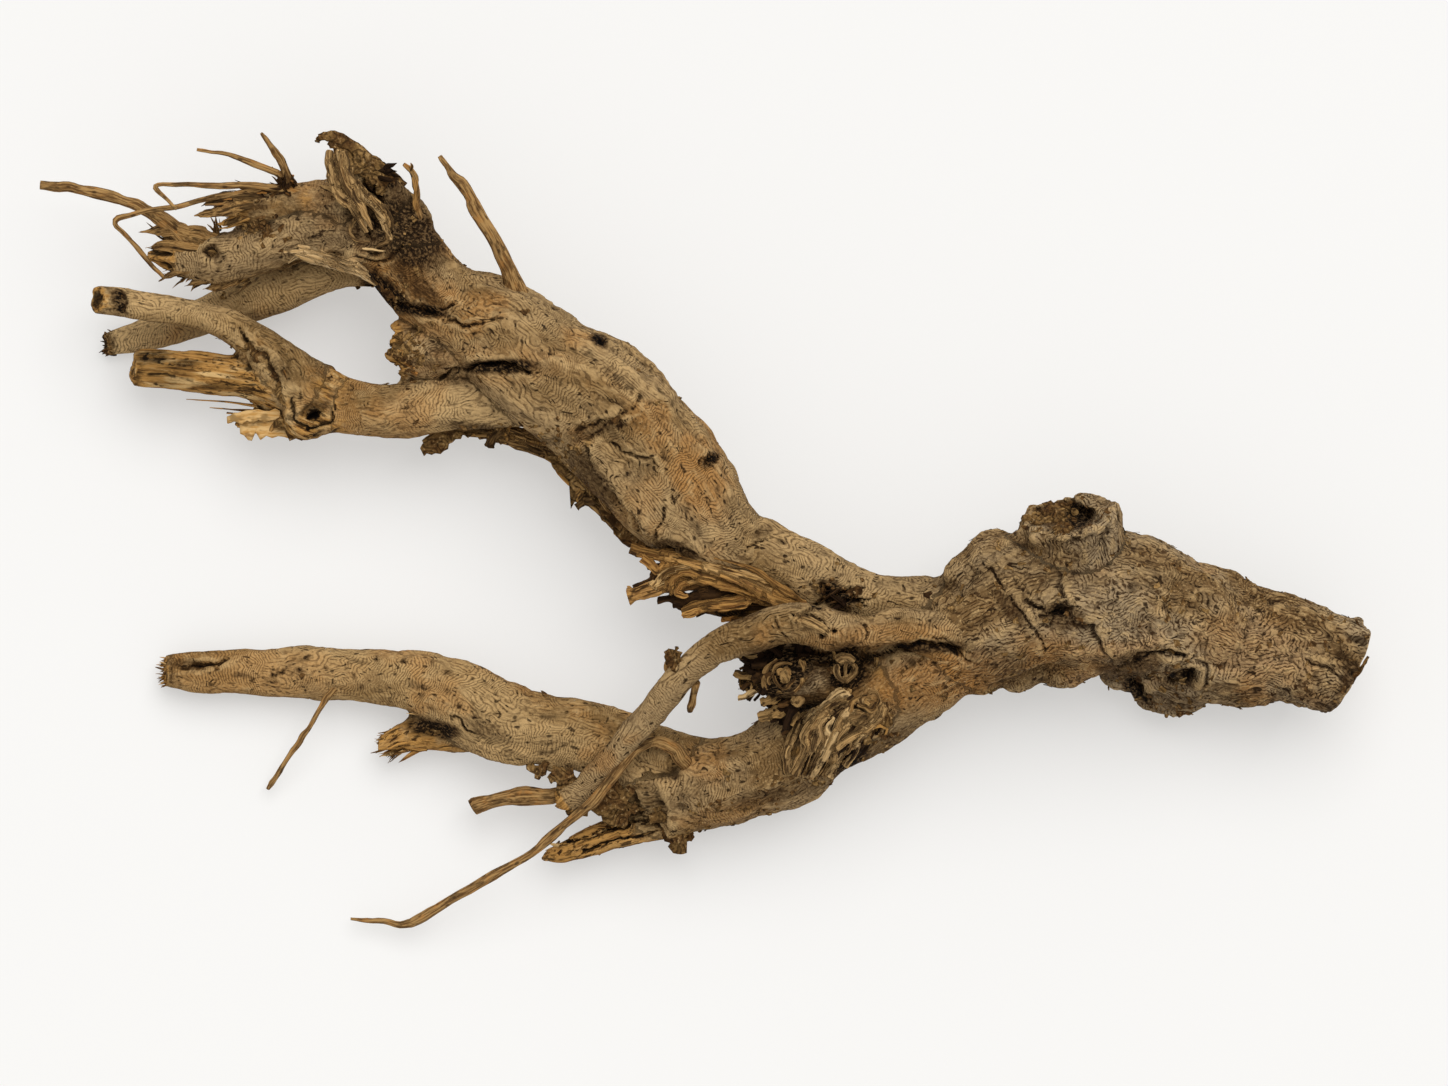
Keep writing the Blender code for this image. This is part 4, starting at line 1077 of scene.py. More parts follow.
def spray(place, direction, disc, count, length, width, spread=0.18, tip=0.0, bend=0.15, flat=0.6, rng=RNG):
    """Splinters that stand out of a torn end, longest near its middle; tip is how blunt they are."""
    out = np.array(direction, float)
    out /= np.linalg.norm(out)
    side = np.cross(out, (0.13, 0.2, 1.0))
    side /= np.linalg.norm(side)
    up = np.cross(side, out)
    strands = []
    for _ in range(count):
        angle, away = rng.uniform(0, 2 * math.pi), math.sqrt(rng.random())
        root = np.array(place, float) + disc * away * (math.cos(angle) * side + flat * math.sin(angle) * up)
        aim = out + spread * (rng.normal() * side + rng.normal() * up) + 0.25 * spread * away * (
            math.cos(angle) * side + math.sin(angle) * up)
        aim /= np.linalg.norm(aim)
        curl = bend * (rng.normal() * side + rng.normal() * up)
        reach = length * rng.uniform(0.35, 1.0) * (1.15 - 0.4 * away)
        thick = width * rng.uniform(0.5, 1.2)
        tilt = rng.uniform(0, math.pi)
        root = root - aim * min(6.0, 0.5 * reach)
        strand = []
        for step in range(7):
            t = step / 6
            point = root + aim * (reach + min(6.0, 0.5 * reach)) * t + curl * reach * t * t
            point = point + 0.05 * reach * np.array([rng.normal(), rng.normal(), rng.normal()]) * 0.3
            radius = thick * ((1 - tip) * (1 - t ** 1.6) ** 0.7 + tip) + 0.12
            strand.append((*point, radius, tilt + 0.5 * t))
        strands.append(strand)
    return strands


def riven(points, radius, tip=0.25, blunt=0.15, tilt=0.0, steps=8):
    """One long riven strand through (x, y, z) points, thickest in its first half and broken off at its tip."""
    path = smooth_path([(*point, radius) for point in points], steps)
    reach = np.linspace(0, 1, len(path))
    waver = value_noise(np.column_stack([reach * 6, reach * 0 + points[0][0], reach * 0 + points[0][1]]))
    swell = (1 + 0.25 * waver) * (tip + (1 - tip) * ease(1 - reach, 0, 1 - blunt)) * (0.35 + 0.65 * ease(reach, 0, 0.12))
    return [(x, y, z, max(0.15, radius * grow_by), tilt + 0.4 * part)
            for (x, y, z, _), grow_by, part in zip(path, swell, reach)]


def comb(guides, count, radius, lift=1.0, stray=0.8, rng=RNG):
    """Strands that flow between the guide lines from one side to the other, each a little astray."""
    guides = np.array([smooth_path([(*point, 1) for point in guide], 4)[:, :3] for guide in guides])
    strands = []
    for number in range(count):
        place = (number + rng.uniform(0.1, 0.9)) / count * (len(guides) - 1)
        low = min(int(place), len(guides) - 2)
        part = place - low
        path = guides[low] * (1 - part) + guides[low + 1] * part
        first = int(rng.uniform(0, 0.35) * len(path))
        last = int(rng.uniform(0.75, 1.0) * len(path)) + 1
        path = path[first:max(last, first + 4)].copy()
        reach = np.linspace(0, 1, len(path))
        phase = rng.uniform(0, 9, 3)
        for axis in range(3):
            path[:, axis] += stray * np.sin(reach * rng.uniform(2, 6) + phase[axis]) * (0.4 + 0.6 * reach)
        path[:, 2] += rng.uniform(-0.6, 1.0) * lift + lift * rng.uniform(-0.2, 0.8) * reach ** 2
        thick = radius * rng.uniform(0.45, 1.3)
        tilt = rng.uniform(0, math.pi)
        strands.append([(x, y, z, thick * (0.45 + 0.55 * math.sin(math.pi * (0.1 + 0.78 * t))) * (1 - 0.5 * t ** 6), tilt + t)
                        for (x, y, z), t in zip(path, reach)])
    return strands


def ring(x, y, z, radius, thick, start=0.0, turn=360.0, squash=1.0, rise=0.0, lean=0.0):
    """A curl of bark or a healed ring: part of a circle, as one strand."""
    steps = 22
    strand = []
    for step in range(steps + 1):
        angle = math.radians(start + turn * step / steps)
        part = step / steps
        reach = radius * (1 + 0.12 * math.sin(3 * angle + start) + 0.07 * math.sin(5 * angle + x))
        strand.append((x + reach * math.cos(angle), y + reach * squash * math.sin(angle),
                       z + rise * part + lean * math.sin(angle) * radius, thick * (0.75 + 0.25 * math.sin(math.pi * part)), 0.0))
    return strand


class Skin:
    """The finished wood's surface, so that loose pieces can lie on it."""

    def __init__(self, *pieces):
        bm = bmesh.new()
        for piece in pieces:
            bm.from_mesh(piece.data)
        self.tree = BVHTree.FromBMesh(bm)
        bm.free()

    def height(self, x, y, missing=20.0):
        hit = self.tree.ray_cast(Vector((x, y, 400)) * MM, Vector((0, 0, -1)))[0]
        return missing if hit is None else hit.z / MM

    def laid(self, points, lift=0.0):
        """(x, y) or (x, y, lift) points put on the skin, seen from above."""
        return [(point[0], point[1], self.height(point[0], point[1]) + lift + (point[2] if len(point) > 2 else 0))
                for point in points]


def finish_piece(piece, materials):
    for material in materials:
        piece.data.materials.append(material)
    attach(piece, "root")
    return piece


def twig_paths():
    """Rootlets with small swellings, nodes and kinks along them."""
    paths = []
    for number, stations in enumerate(ROOTLETS.values()):
        path = smooth_path(stations, 5)
        reach = np.linspace(0, len(path) * 0.37, len(path))
        wobble = np.column_stack([value_noise(np.column_stack([reach, reach * 0 + 3 * number, reach * 0 + k]))
                                  for k in (0.5, 10.5, 20.5, 30.5)])
        slim = path[:, 3]
        path[:, :3] += wobble[:, :3] * np.minimum(0.7, 0.35 * slim)[:, None]
        path[:, 3] = slim * (1 + 0.22 * wobble[:, 3])
        paths.append([(*row, 0.0) for row in path])
    return paths


def flake(bm, line, width, lift=0.8, thickness=0.5, curl=0.5, ragged=0.22, rng=RNG):
    """One torn sheet of bark along a line of (x, y, z) points, with ragged edges that curl up."""
    path = smooth_path([(*point, width) for point in line], 4)
    rows, columns = len(path), 6
    grid = bmesh.ops.create_grid(bm, x_segments=rows - 1, y_segments=columns - 1, size=0.5)["verts"]
    steps = np.gradient(path[:, :3], axis=0)
    jag = rng.normal(size=(rows, 2)) * ragged + np.repeat(rng.normal(size=(rows // 3 + 1, 2)), 3, axis=0)[:rows] * ragged
    for vert in grid:
        row = min(rows - 1, max(0, round((vert.co.x + 0.5) * (rows - 1))))
        column = vert.co.y * 2
        side = np.cross((0, 0, 1.0), steps[row])
        side /= np.linalg.norm(side) + 1e-9
        t = row / (rows - 1)
        half = 0.5 * width * (math.sin(math.pi * (0.12 + 0.8 * t)) ** 0.5) * (1 + jag[row, int(column > 0)] * abs(column))
        rise = lift * (curl * column ** 2 + 0.25 * rng.normal() * abs(column) + 0.5 * t * t)
        vert.co = Vector(path[row, :3] + side * column * half + np.array([0, 0, rise])) * MM
    faces = list({face for vert in grid for face in vert.link_faces})
    bmesh.ops.recalc_face_normals(bm, faces=faces)
    bmesh.ops.solidify(bm, geom=faces, thickness=thickness * MM)


def crumb(bm, place, size, rng=RNG, flat=0.6):
    """One scaly crumb of bark or wood, a knocked-about lump with a few dozen faces."""
    lump = bmesh.ops.create_icosphere(bm, subdivisions=1, radius=size * MM)["verts"]
    stretch = rng.uniform(0.6, 1.5, 3) * (1, 1, flat)
    bmesh.ops.scale(bm, verts=lump, vec=Vector(stretch))
    for vert in lump:
        vert.co *= rng.uniform(0.72, 1.25)
    bmesh.ops.rotate(bm, verts=lump, cent=(0, 0, 0),
                     matrix=Euler(rng.uniform(-0.6, 0.6, 3) + (0, 0, rng.uniform(0, 6))).to_matrix())
    bmesh.ops.translate(bm, verts=lump, vec=Vector(place) * MM)


def bark_bits(name, builder, finish, smooth=False):
    """A piece filled by the builder, which is handed an empty bmesh."""
    bm = bmesh.new()
    builder(bm)
    bmesh.ops.recalc_face_normals(bm, faces=bm.faces)
    made = bpy.data.meshes.new(name)
    bm.to_mesh(made)
    bm.free()
    made.polygons.foreach_set("use_smooth", [smooth] * len(made.polygons))
    return finish_piece(link(name, made), [finish])


# ---------------------------------------------------------------------------------------------------------
# The wood
# ---------------------------------------------------------------------------------------------------------

def cut_faces(points):
    """Flattens every old cut, and returns how far each point lies on one and on the dark edge round it."""
    face, edge = np.zeros(len(points)), np.zeros(len(points))
    for middle, direction, reach in CUTS:
        out = np.array(direction) / np.linalg.norm(direction)
        offset = points - middle
        near = np.linalg.norm(offset, axis=1) < reach
        beyond = offset @ out
        slip = np.where(near, np.maximum(beyond - 0.35 * value_noise(points / 1.8), 0), 0)
        points -= slip[:, None] * out
        face = np.maximum(face, near * ease(beyond, -0.1, 0.4))
        edge = np.maximum(edge, near * np.exp(-((beyond + 1.2) / 1.3) ** 2))
    return face, edge


def grow_wood(name, limb_names, burls, grid, most_triangles, finishes):
    limbs = [WOOD[limb] for limb in limb_names]
    piece = rough_out(name, limbs, burls, 1.7 * grid * COARSER)
    if "knot_stub" in limb_names:
        points, _ = read_points(piece.data)
        hollow_socket(points)
        write_points(piece.data, points)
    made = sculpt(piece, limbs, grid * COARSER, most_triangles)
    if "trunk" in limb_names:
        saw_off(made)
    points, _ = read_points(made)
    face, edge = cut_faces(points)
    points[:, 2] = np.maximum(points[:, 2], FLOOR / MM)
    write_points(made, points)
    smooth_shading(made)
    mark_finish(made, limbs, face, edge)
    return finish_piece(piece, finishes)


BARK_FINISH = bark_finish()
SEPARATE = ("arch_root", "under_splinter")
wood = grow_wood("root_wood", [name for name in LIMBS if name not in SEPARATE], BURLS, 1.0, 192000,
                 [BARK_FINISH, sawn_finish()])
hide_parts("dry_root")
arch = grow_wood("arched_root", ["arch_root"], [(60, -54, 64, 7)], 0.75, 60000, [BARK_FINISH])
under = grow_wood("under_fork_wood", ["under_splinter"], [(26, -33, 46, 7), (38, -36, 50, 7)], 0.8, 30000, [BARK_FINISH])
skin = Skin(wood, arch, under)

# ---------------------------------------------------------------------------------------------------------
# Rootlets
# ---------------------------------------------------------------------------------------------------------

RIND = rootlet_finish()
finish_piece(link("rootlets", strand_mesh("rootlets", twig_paths(), sides=10, roughness=0.14, smooth=True)), [RIND])

# ---------------------------------------------------------------------------------------------------------
# Torn wood: riven strands, fans and sprays of splinters
# ---------------------------------------------------------------------------------------------------------

GOLD = splinter_finish("torn_golden_wood", BARE_GOLD, BARE_BROWN, BARE_PALE)
DRAB = splinter_finish("torn_drab_wood", TAN, BROWN_BARK, BARE_GOLD)
DARK = splinter_finish("torn_dark_wood", BROWN_BARK, DEEP_BROWN, HONEY, 0.75)
WORN = splinter_finish("worn_pale_wood", TAN, OLIVE_TAN, PALE_TAN, 0.1)
BRIGHT = splinter_finish("bright_edge_wood", colour(206, 172, 122), TAN, colour(230, 204, 160), 0.0)
FANNED = splinter_finish("fanned_wood", colour(190, 152, 98), BROWN_BARK, colour(210, 176, 124), 0.35)
# Near-black wood: rotten wood at torn ends, and painted shade where its strands fill the gaps under the torn fan.
ROTTEN_AND_SHADE = splinter_finish("rotten_wood_and_painted_shade", DEEP_BROWN, NEAR_BLACK, BROWN_BARK, 0.9)
FLAKE = flake_finish()

blade = blade_profile("splinter_profile", 6)
riven_profile = blade_profile("riven_profile", 14)

fork_strands = [
    riven([(44, -32, 61), (32.2, -30, 64), (23.7, -25.4, 66), (14.2, -20.7, 67.5), (2.9, -16.9, 66), (-8.5, -13.8, 62), (-16, -12.4, 58)],
          4.4, 0.5, 0.1),
    riven([(36, -34, 59), (24, -29.5, 62), (14.2, -24.5, 64), (6.6, -22.6, 64), (-1.9, -20, 63), (-9.4, -18.4, 61), (-14, -21.6, 59),
           (-15.4, -27, 57)], 3.7, 0.7, 0.1),
    riven([(42.6, -31.1, 64), (32.2, -25.4, 67), (23.7, -18.8, 69.5), (14.2, -15, 70.5), (3.8, -12.6, 69)], 1.8, 0.3, 0.3),
    riven([(-8, -13.2, 61), (-16, -11.6, 58), (-21.7, -11.2, 56), (-27.4, -10.3, 55), (-32.6, -8.4, 54)], 3.6, 0.8, 0.05),
    riven([(-12, -15, 60), (-17, -16.9, 58), (-20.8, -17.8, 57), (-23.6, -15, 56.5), (-27.4, -12.2, 56)], 3.2, 0.75, 0.1),
    riven([(-6, -19, 59), (-15.1, -23.5, 57), (-19.8, -24.9, 56), (-27.4, -27.3, 54), (-33.6, -28.9, 53)], 3.9, 0.95, 0.02),
    riven([(20, -30, 62), (12, -31.6, 61), (3.8, -32.6, 60), (-3.8, -34.2, 58), (-9.4, -36, 56)], 3.2, 0.85, 0.05),
    riven([(2, -16.6, 64), (-6, -16.4, 62), (-14, -17.4, 60), (-19, -20.6, 58), (-22, -25, 56)], 3.2, 0.6, 0.1),
    riven([(4, -21, 61), (-4, -22, 60), (-11, -24.6, 58), (-16, -28, 56)], 2.8, 0.6, 0.1),
    riven([(30, -24, 67), (20, -20.4, 69.5), (10, -18, 69.5), (0, -15.6, 67)], 1.3, 0.2, 0.4),
    riven([(26, -30, 64), (17, -27.4, 66), (8, -25, 65.5), (-2, -23, 64)], 1.1, 0.2, 0.4),
    ring(-9.5, -26.4, 59, 3.0, 1.2, 60, 250, 0.9, 0.8),
    riven([(20, -31, 64), (12, -32.6, 63), (3.8, -33.4, 62), (-3, -34.6, 60), (-10, -36.4, 58)], 3.0, 0.85, 0.05),
]
finish_piece(link("fork_strands", strand_mesh("fork_strands", fork_strands, riven_profile, roughness=0.45, gnarl=0.22)), [GOLD])
under_strands = [
    riven([(6, -21, 60), (-2, -22.6, 58), (-9, -24.4, 57), (-16, -26, 56)], 3.8, 0.5), riven([(-8, -15, 58), (-18, -15.6, 55), (-25, -17, 54)], 3.0, 0.5),
    riven([(14, -25, 59), (4, -27, 58), (-6, -29, 56), (-15, -30, 53), (-21, -31, 51)], 4.6, 0.4),
    riven([(10, -29, 56), (0, -31, 55), (-9, -32.6, 53), (-14, -33.6, 51)], 4.0, 0.5),
    riven([(-10, -18, 57), (-19, -19.7, 54), (-24.6, -22, 53), (-31.2, -25.4, 51)], 4.0, 0.3),
    riven([(30, -33, 54), (20, -33, 53), (10, -33, 50), (2, -35, 47), (-4, -37, 44)], 3.4, 0.5),
    riven([(26, -27, 58), (14, -28.5, 57), (4, -28, 55), (-5, -26.5, 53)], 3.0, 0.5),
    riven([(34, -37, 52), (24, -38.5, 50), (14, -38.5, 47), (7, -39, 44)], 3.2, 0.5),
    riven([(16, -30, 52), (6, -31, 50), (-2, -29.5, 47), (-8, -31, 45)], 2.6, 0.4),
]
under_strands += spray((2, -31, 50), (-1, -0.1, 0.0), 5, 16, 9, 1.5, 0.4, 0.3)
finish_piece(link("under_fork_strands", strand_mesh("under_fork_strands", under_strands, blade, roughness=0.3, gnarl=0.8)), [DARK])

fan_lines = [
    [(58, -74), (50.7, -79.5), (45.1, -81.2), (40.1, -86.8), (37.3, -92.9), (35.1, -98), (35.9, -107)],
    [(56, -79), (51.9, -81.2), (47.4, -85.7), (44, -91.3), (44.6, -95.7), (41.2, -103), (39, -107.5)],
    [(60, -78), (54.1, -83.4), (51.9, -87.4), (52.4, -92.4), (48.5, -99.1), (45.7, -106.9)],
    [(63, -78), (58.6, -84), (55.8, -91.3), (51.3, -100.2), (46.5, -108.5)],
    [(67, -82), (63, -84.6), (59.7, -90.7), (56.3, -96.9), (55.2, -103), (51.9, -108.5)],
    [(73, -83), (68.6, -87.4), (65.3, -92.4), (60.2, -98), (56.3, -103.6), (53.5, -108)],
    [(69, -88), (66.4, -91.3), (65.3, -96.3), (60.8, -103)],
    [(77.5, -75.6), (76.4, -81.2), (71.4, -86.2), (63, -91.3), (57.4, -95.2)],
    [(64, -72.5), (58, -75), (52, -79.5), (48, -84)], [(50, -86), (48, -92), (47, -97)], [(58, -90), (54.5, -95), (51, -98)],
]
fan, shade_fan = [], []
for number, line in enumerate(fan_lines):
    far = len(line) - 1
    lift = 0.4 + 1.6 * (number % 2)
    fan.append(riven(skin.laid([(x, y, lift + 1.4 * n / far) for n, (x, y) in enumerate(line)]), RNG.uniform(1.9, 2.6), 0.8, 0.05,
                     RNG.uniform(-0.6, 0.6)))
    for _ in range(2):
        across, lift = RNG.uniform(-2.6, 2.6), RNG.uniform(0.4, 3.0)
        fan.append(riven(skin.laid([(x + across, y + 1, lift) for x, y in line[1:]]), RNG.uniform(0.7, 1.2), 0.3, 0.2))
        across = RNG.uniform(-3, 3)
        shade_fan.append(riven(skin.laid([(x + across, y, 1.0) for x, y in line]), RNG.uniform(0.9, 1.4), 0.3, 0.2))
for line in ([(63, -71.5), (56, -75), (49, -79.5), (43.5, -84)], [(70, -80.6), (64, -83), (59, -87.4), (56, -91)]):
    fan.append(riven(skin.laid([(x, y, 1.4) for x, y in line]), 3.4, 0.5, 0.1))
finish_piece(link("torn_fan_strands", strand_mesh("torn_fan_strands", fan, riven_profile, roughness=0.5, gnarl=0.4)), [FANNED])
shade_fan += comb([[(70, -86, 62), (67, -92, 58), (63, -98, 53), (58, -104, 48)],
                   [(77, -84, 57), (74, -90, 55), (70, -95, 50), (64, -100, 46)]], 16, 1.9, 1.4, 1.4)
# Painted shade: the near-black strands under the torn fan stand in for the shade in the gaps between the pale strands.
finish_piece(link("dark_fan_strands", strand_mesh("dark_fan_strands", shade_fan, blade, roughness=0.3, gnarl=0.6)), [ROTTEN_AND_SHADE])

whorl = [ring(71.4, -75, skin.height(71.4, -75) + 0.2, radius, 0.8, start, 250, 0.85, 0.6)
         for radius, start in ((1.8, 30), (3.4, 100), (5.2, 200))]
whorl += [riven(skin.laid([(77.5, -75.6, 0.4), (76.4, -81.2, 0.8), (71.4, -86.2, 1.2), (65, -90, 1.0)]), 1.5, 0.3),
          riven(skin.laid([(64, -70.6, 0.2), (57, -74, 0.6), (51, -79, 0.8), (47, -80.6, 0.6)]), 2.2, 0.4),
          riven(skin.laid([(66, -86, 1.0), (63.4, -80, 1.2), (64.4, -76, 0.8), (68, -73, 0.4)]), 1.5, 0.4),
          riven(skin.laid([(71, -87, 0.8), (72.6, -82, 1.0), (70.6, -80.4, 0.8)]), 1.4, 0.6),
          riven(skin.laid([(69.7, -88.4, 0.6), (74.2, -85.7, 1.2), (79.2, -86.8, 1.0), (78.7, -89.6, 0.6)]), 1.3, 0.6)]
finish_piece(link("whorl_strands", strand_mesh("whorl_strands", whorl, riven_profile, roughness=0.4, gnarl=0.9)), [DRAB])

cluster = spray((26, -64, 60), (-1, -0.2, 0.0), 11, 30, 11, 2.2, 0.5, 0.6, 0.3, 1.0)
cluster += spray((30, -54, 60), (-0.9, 0.2, 0.1), 8, 24, 10, 1.9, 0.5, 0.5, 0.3, 1.0)
cluster += spray((35, -77, 55), (-0.8, -0.4, 0.1), 8, 34, 10, 2.3, 0.4, 0.6, 0.3, 1.0)
cluster += spray((22, -58, 50), (-1, 0.1, 0.0), 10, 22, 10, 1.9, 0.4, 0.5, 0.3, 1.0)
cluster += spray((40, -55, 62), (-0.5, 0.2, 0.6), 8, 22, 7, 1.6, 0.5, 0.4, 0.3, 1.0)
finish_piece(link("cluster_rootlets", strand_mesh("cluster_rootlets", cluster, riven_profile, roughness=0.4, gnarl=1.0)), [ROTTEN_AND_SHADE])
top = skin.height(34.3, -64)
knot_rings = [ring(34.3, -63.6, top + 1.8, 2.8, 1.0, 0, 190, 0.9, 0.6), ring(34.3, -64.5, top + 1.2, 4.4, 0.8, 170, 200, 0.95, -0.4),
              ring(34.3, -64.5, top + 0.6, 6.2, 0.9, 60, 150, 0.95, -0.6),
              riven([(27, -70, top), (25.6, -66, top), (27, -60, top - 0.6), (31, -56.6, top - 1)], 1.5, 0.5),
              riven([(41.6, -57, top - 1), (43, -62, top), (42, -67, top), (38.6, -70.6, top)], 1.6, 0.5)]
nubs = [riven([(36, -66.6, top), (34.8, -64.6, top + 2.4), (33.4, -62.6, top + 4)], 2.5, 0.9, 0.05),
        riven([(42.6, -72.6, 60), (40.6, -74.8, 64), (39.4, -76, 66)], 2.9, 0.95, 0.02),
              riven([(38, -77, 58), (33.6, -80, 60), (29, -81.6, 61)], 1.9, 0.9, 0.05),
              riven([(41, -80, 58), (38.6, -83.5, 59), (37.5, -85.4, 59)], 1.6, 0.9, 0.05),
              riven([(33, -72, 60), (28, -74.6, 61), (23.6, -75.6, 61)], 2.4, 0.9, 0.05),
              riven([(34, -77, 57), (28, -80.6, 58), (23, -82, 58)], 2.6, 0.9, 0.05),
              riven([(24, -62, 62), (17, -63.6, 62), (13, -62.8, 61)], 2.0, 0.8, 0.05),
              riven([(24, -70, 60), (18, -72.6, 60), (14.6, -73.6, 59)], 1.8, 0.8, 0.05),
              riven([(27, -55, 64), (19, -56, 63), (14, -55, 61)], 1.5, 0.6, 0.1)]
finish_piece(link("ringed_knot", strand_mesh("ringed_knot", knot_rings, riven_profile, roughness=0.4, gnarl=0.8)), [DRAB])
finish_piece(link("root_nubs", strand_mesh("root_nubs", nubs, riven_profile, roughness=0.3, gnarl=0.5)), [WORN])

button = [[(57.6, -57.4, 1.4), (59.4, -56.2, 2.2), (61.4, -55.9, 2.4), (64.4, -57.2, 1.4)],
          [(57.6, -58.8, 1.2), (57.4, -62, 1.2), (58.6, -64.8, 1.4), (60.6, -66.4, 1.2)],
          [(64.8, -58.4, 1.2), (65.4, -61, 1.2), (64.2, -64, 1.4), (61.2, -66.4, 1.2)],
          [(61.4, -57.6, 1.4), (61.1, -60.6, 1.6), (60.8, -64.4, 1.6)], [(60.2, -64, 1.4), (61.6, -65.4, 1.4)]]
button = [riven(skin.laid(line), thick, 0.85, 0.05) for line, thick in zip(button, (2.6, 1.6, 1.6, 1.0, 1.8))]
button.append(riven(skin.laid([(38.4, -38.8, 3.0), (41, -38.9, 2.7), (45, -40, 2.2), (49.6, -42.4, 1.3), (53, -45, -0.4)]), 2.4, 0.85, 0.02))
finish_piece(link("button_knot", strand_mesh("button_knot", button, riven_profile, roughness=0.2, gnarl=0.3)), [FANNED])

# name: (finish, [(place, direction, disc, count, length, width, spread)])
SPRAYS = {
    "dark_inner_splinters": (ROTTEN_AND_SHADE, [((-228, 119, 40), (-1, -0.1, 0.0), 8, 34, 10, 2.2, 0.3), ((-128, -90, 13), (-1, -0.2, 0.0), 5, 16, 10, 1.8, 0.3),
                                      ((-200, 141, 51), (-1, -0.05, 0.0), 6, 18, 9, 1.8, 0.3), ((57, -29, 62), (-1, -0.3, 0.3), 6, 14, 8, 1.2, 0.5)]),
    "long_arm_splinters": (DRAB, [((-228, 124, 43), (-1, 0.28, 0.1), 6, 8, 22, 1.7, 0.12),
                                  ((-226, 114, 40), (-1, -0.3, 0.0), 6, 10, 15, 1.5, 0.18),
                                  ((-230, 117, 42), (-1, 0.0, 0.0), 5, 8, 10, 1.4, 0.2),
                                  ((-214, 111, 38), (-0.8, -0.55, 0.0), 5, 12, 8, 1.1, 0.2),
                                  ((-224, 112, 38), (-0.8, -0.55, 0.0), 5, 12, 9, 1.1, 0.25),
                                  ((-204, 111.5, 38), (-0.8, -0.5, 0.0), 5, 10, 7, 1.0, 0.2),
                                  ((-214.6, 132, 45), (-0.5, 0.8, 0.2), 3, 8, 6, 0.9, 0.4)]),
    "split_stub_splinters": (GOLD, [((-196, 142, 53), (-1, -0.03, 0.0), 7, 34, 22, 1.9, 0.1),
                                    ((-190, 136, 50), (-1, -0.2, 0.0), 5, 20, 15, 1.3, 0.2)]),
    "twig_nest": (DARK, [((-184, 151, 58), (-0.9, 0.25, 0.1), 5, 26, 11, 1.0, 0.5),
                         ((-183, 152, 60), (-0.2, 0.8, 0.3), 4, 12, 7, 0.9, 0.7),
                         ((-196, 147, 57), (-1, -0.05, 0.0), 4, 20, 20, 0.9, 0.1)]),
    "ragged_stub_splinters": (DARK, [((-128, 80, 46), (-1, 0.0, 0.0), 13, 60, 8, 1.9, 0.3)]),
    "golden_stub_splinters": (GOLD, [((-243, 71, 27), (-1, 0.03, 0.0), 8, 34, 9, 1.5, 0.06)]),
    "low_stub_splinters": (GOLD, [((-128, -92, 15), (-1, -0.26, 0.0), 6, 26, 22, 1.9, 0.1),
                                  ((-112, -82, 17), (-1, 0.02, 0.0), 5, 16, 22, 1.8, 0.12),
                                  ((-138, -95, 13), (-1, -0.45, 0.0), 6, 36, 9, 0.6, 0.3)]),
    "core_splinters": (GOLD, [((-60, -141, 19), (-1, -0.25, 0.0), 3, 12, 15, 1.7, 0.05),
                              ((-34, -132.5, 23), (-1, -0.24, 0.0), 5, 14, 32, 1.8, 0.02)]),
    "crown_splinters": (ROTTEN_AND_SHADE, [((-143, 155.4, 60), (1.0, -0.1, 0.2), 3.4, 9, 11, 2.9, 0.3),
                                 ((-143, 158, 60), (0.9, 0.45, 0.3), 3, 8, 6, 1.5, 0.45),
                                 ((-147, 151, 60), (0.3, -0.6, 0.3), 3, 12, 6, 1.3, 0.5)]),
    "pale_tip_splinters": (GOLD, [((-237, -63, 9), (-1, 0.0, 0.0), 6.5, 60, 6, 0.55, 0.22)]),
    "under_tip_splinters": (DARK, [((-262, 82, 7), (-1, 0.1, 0.0), 5, 26, 6, 1.1, 0.3)]),
}
for name, (finish, groups) in SPRAYS.items():
    strands = []
    for place, direction, disc, count, length, width, spread in groups:
        strands += spray(place, direction, disc, count, length, width, spread)
    finish_piece(link(name, strand_mesh(name, strands, blade, roughness=0.1)), [finish])

shards = [riven([(-212, 125, 46), (-224, 129.5, 48), (-236, 132, 48), (-249, 130.4, 46)], 3.4, 0.05, 0.6, 0.2),
          riven([(-210, 121, 46), (-224, 123, 48), (-236, 124.6, 46), (-246, 123.6, 44)], 3.4, 0.05, 0.6, 2.6),
          riven([(-210, 117, 46), (-222, 116, 46), (-232, 113, 44), (-240, 109, 42)], 3.0, 0.05, 0.6, 0.4),
          riven([(-208, 113, 44), (-219, 110, 43), (-229, 107, 41)], 2.6, 0.05, 0.6, 2.8),
          riven([(-204, 111, 42), (-213, 107.6, 41), (-221, 105.6, 40)], 2.2, 0.05, 0.6, 0.3),
          riven([(-196, 142, 58), (-206, 142, 59), (-216, 139, 57), (-224, 137.6, 55)], 3.4, 0.1, 0.5, 0.2),
          riven([(-192, 145, 58), (-204, 145.6, 59), (-215, 144, 57), (-221, 141.6, 55)], 2.8, 0.1, 0.5, 2.9),
          riven([(-188, 139, 57), (-199, 138, 57), (-209, 134.6, 54), (-214, 134, 52)], 2.6, 0.1, 0.5, 0.1)]
finish_piece(link("wide_shards", strand_mesh("wide_shards", shards, riven_profile, roughness=0.45, gnarl=0.4)), [DRAB])

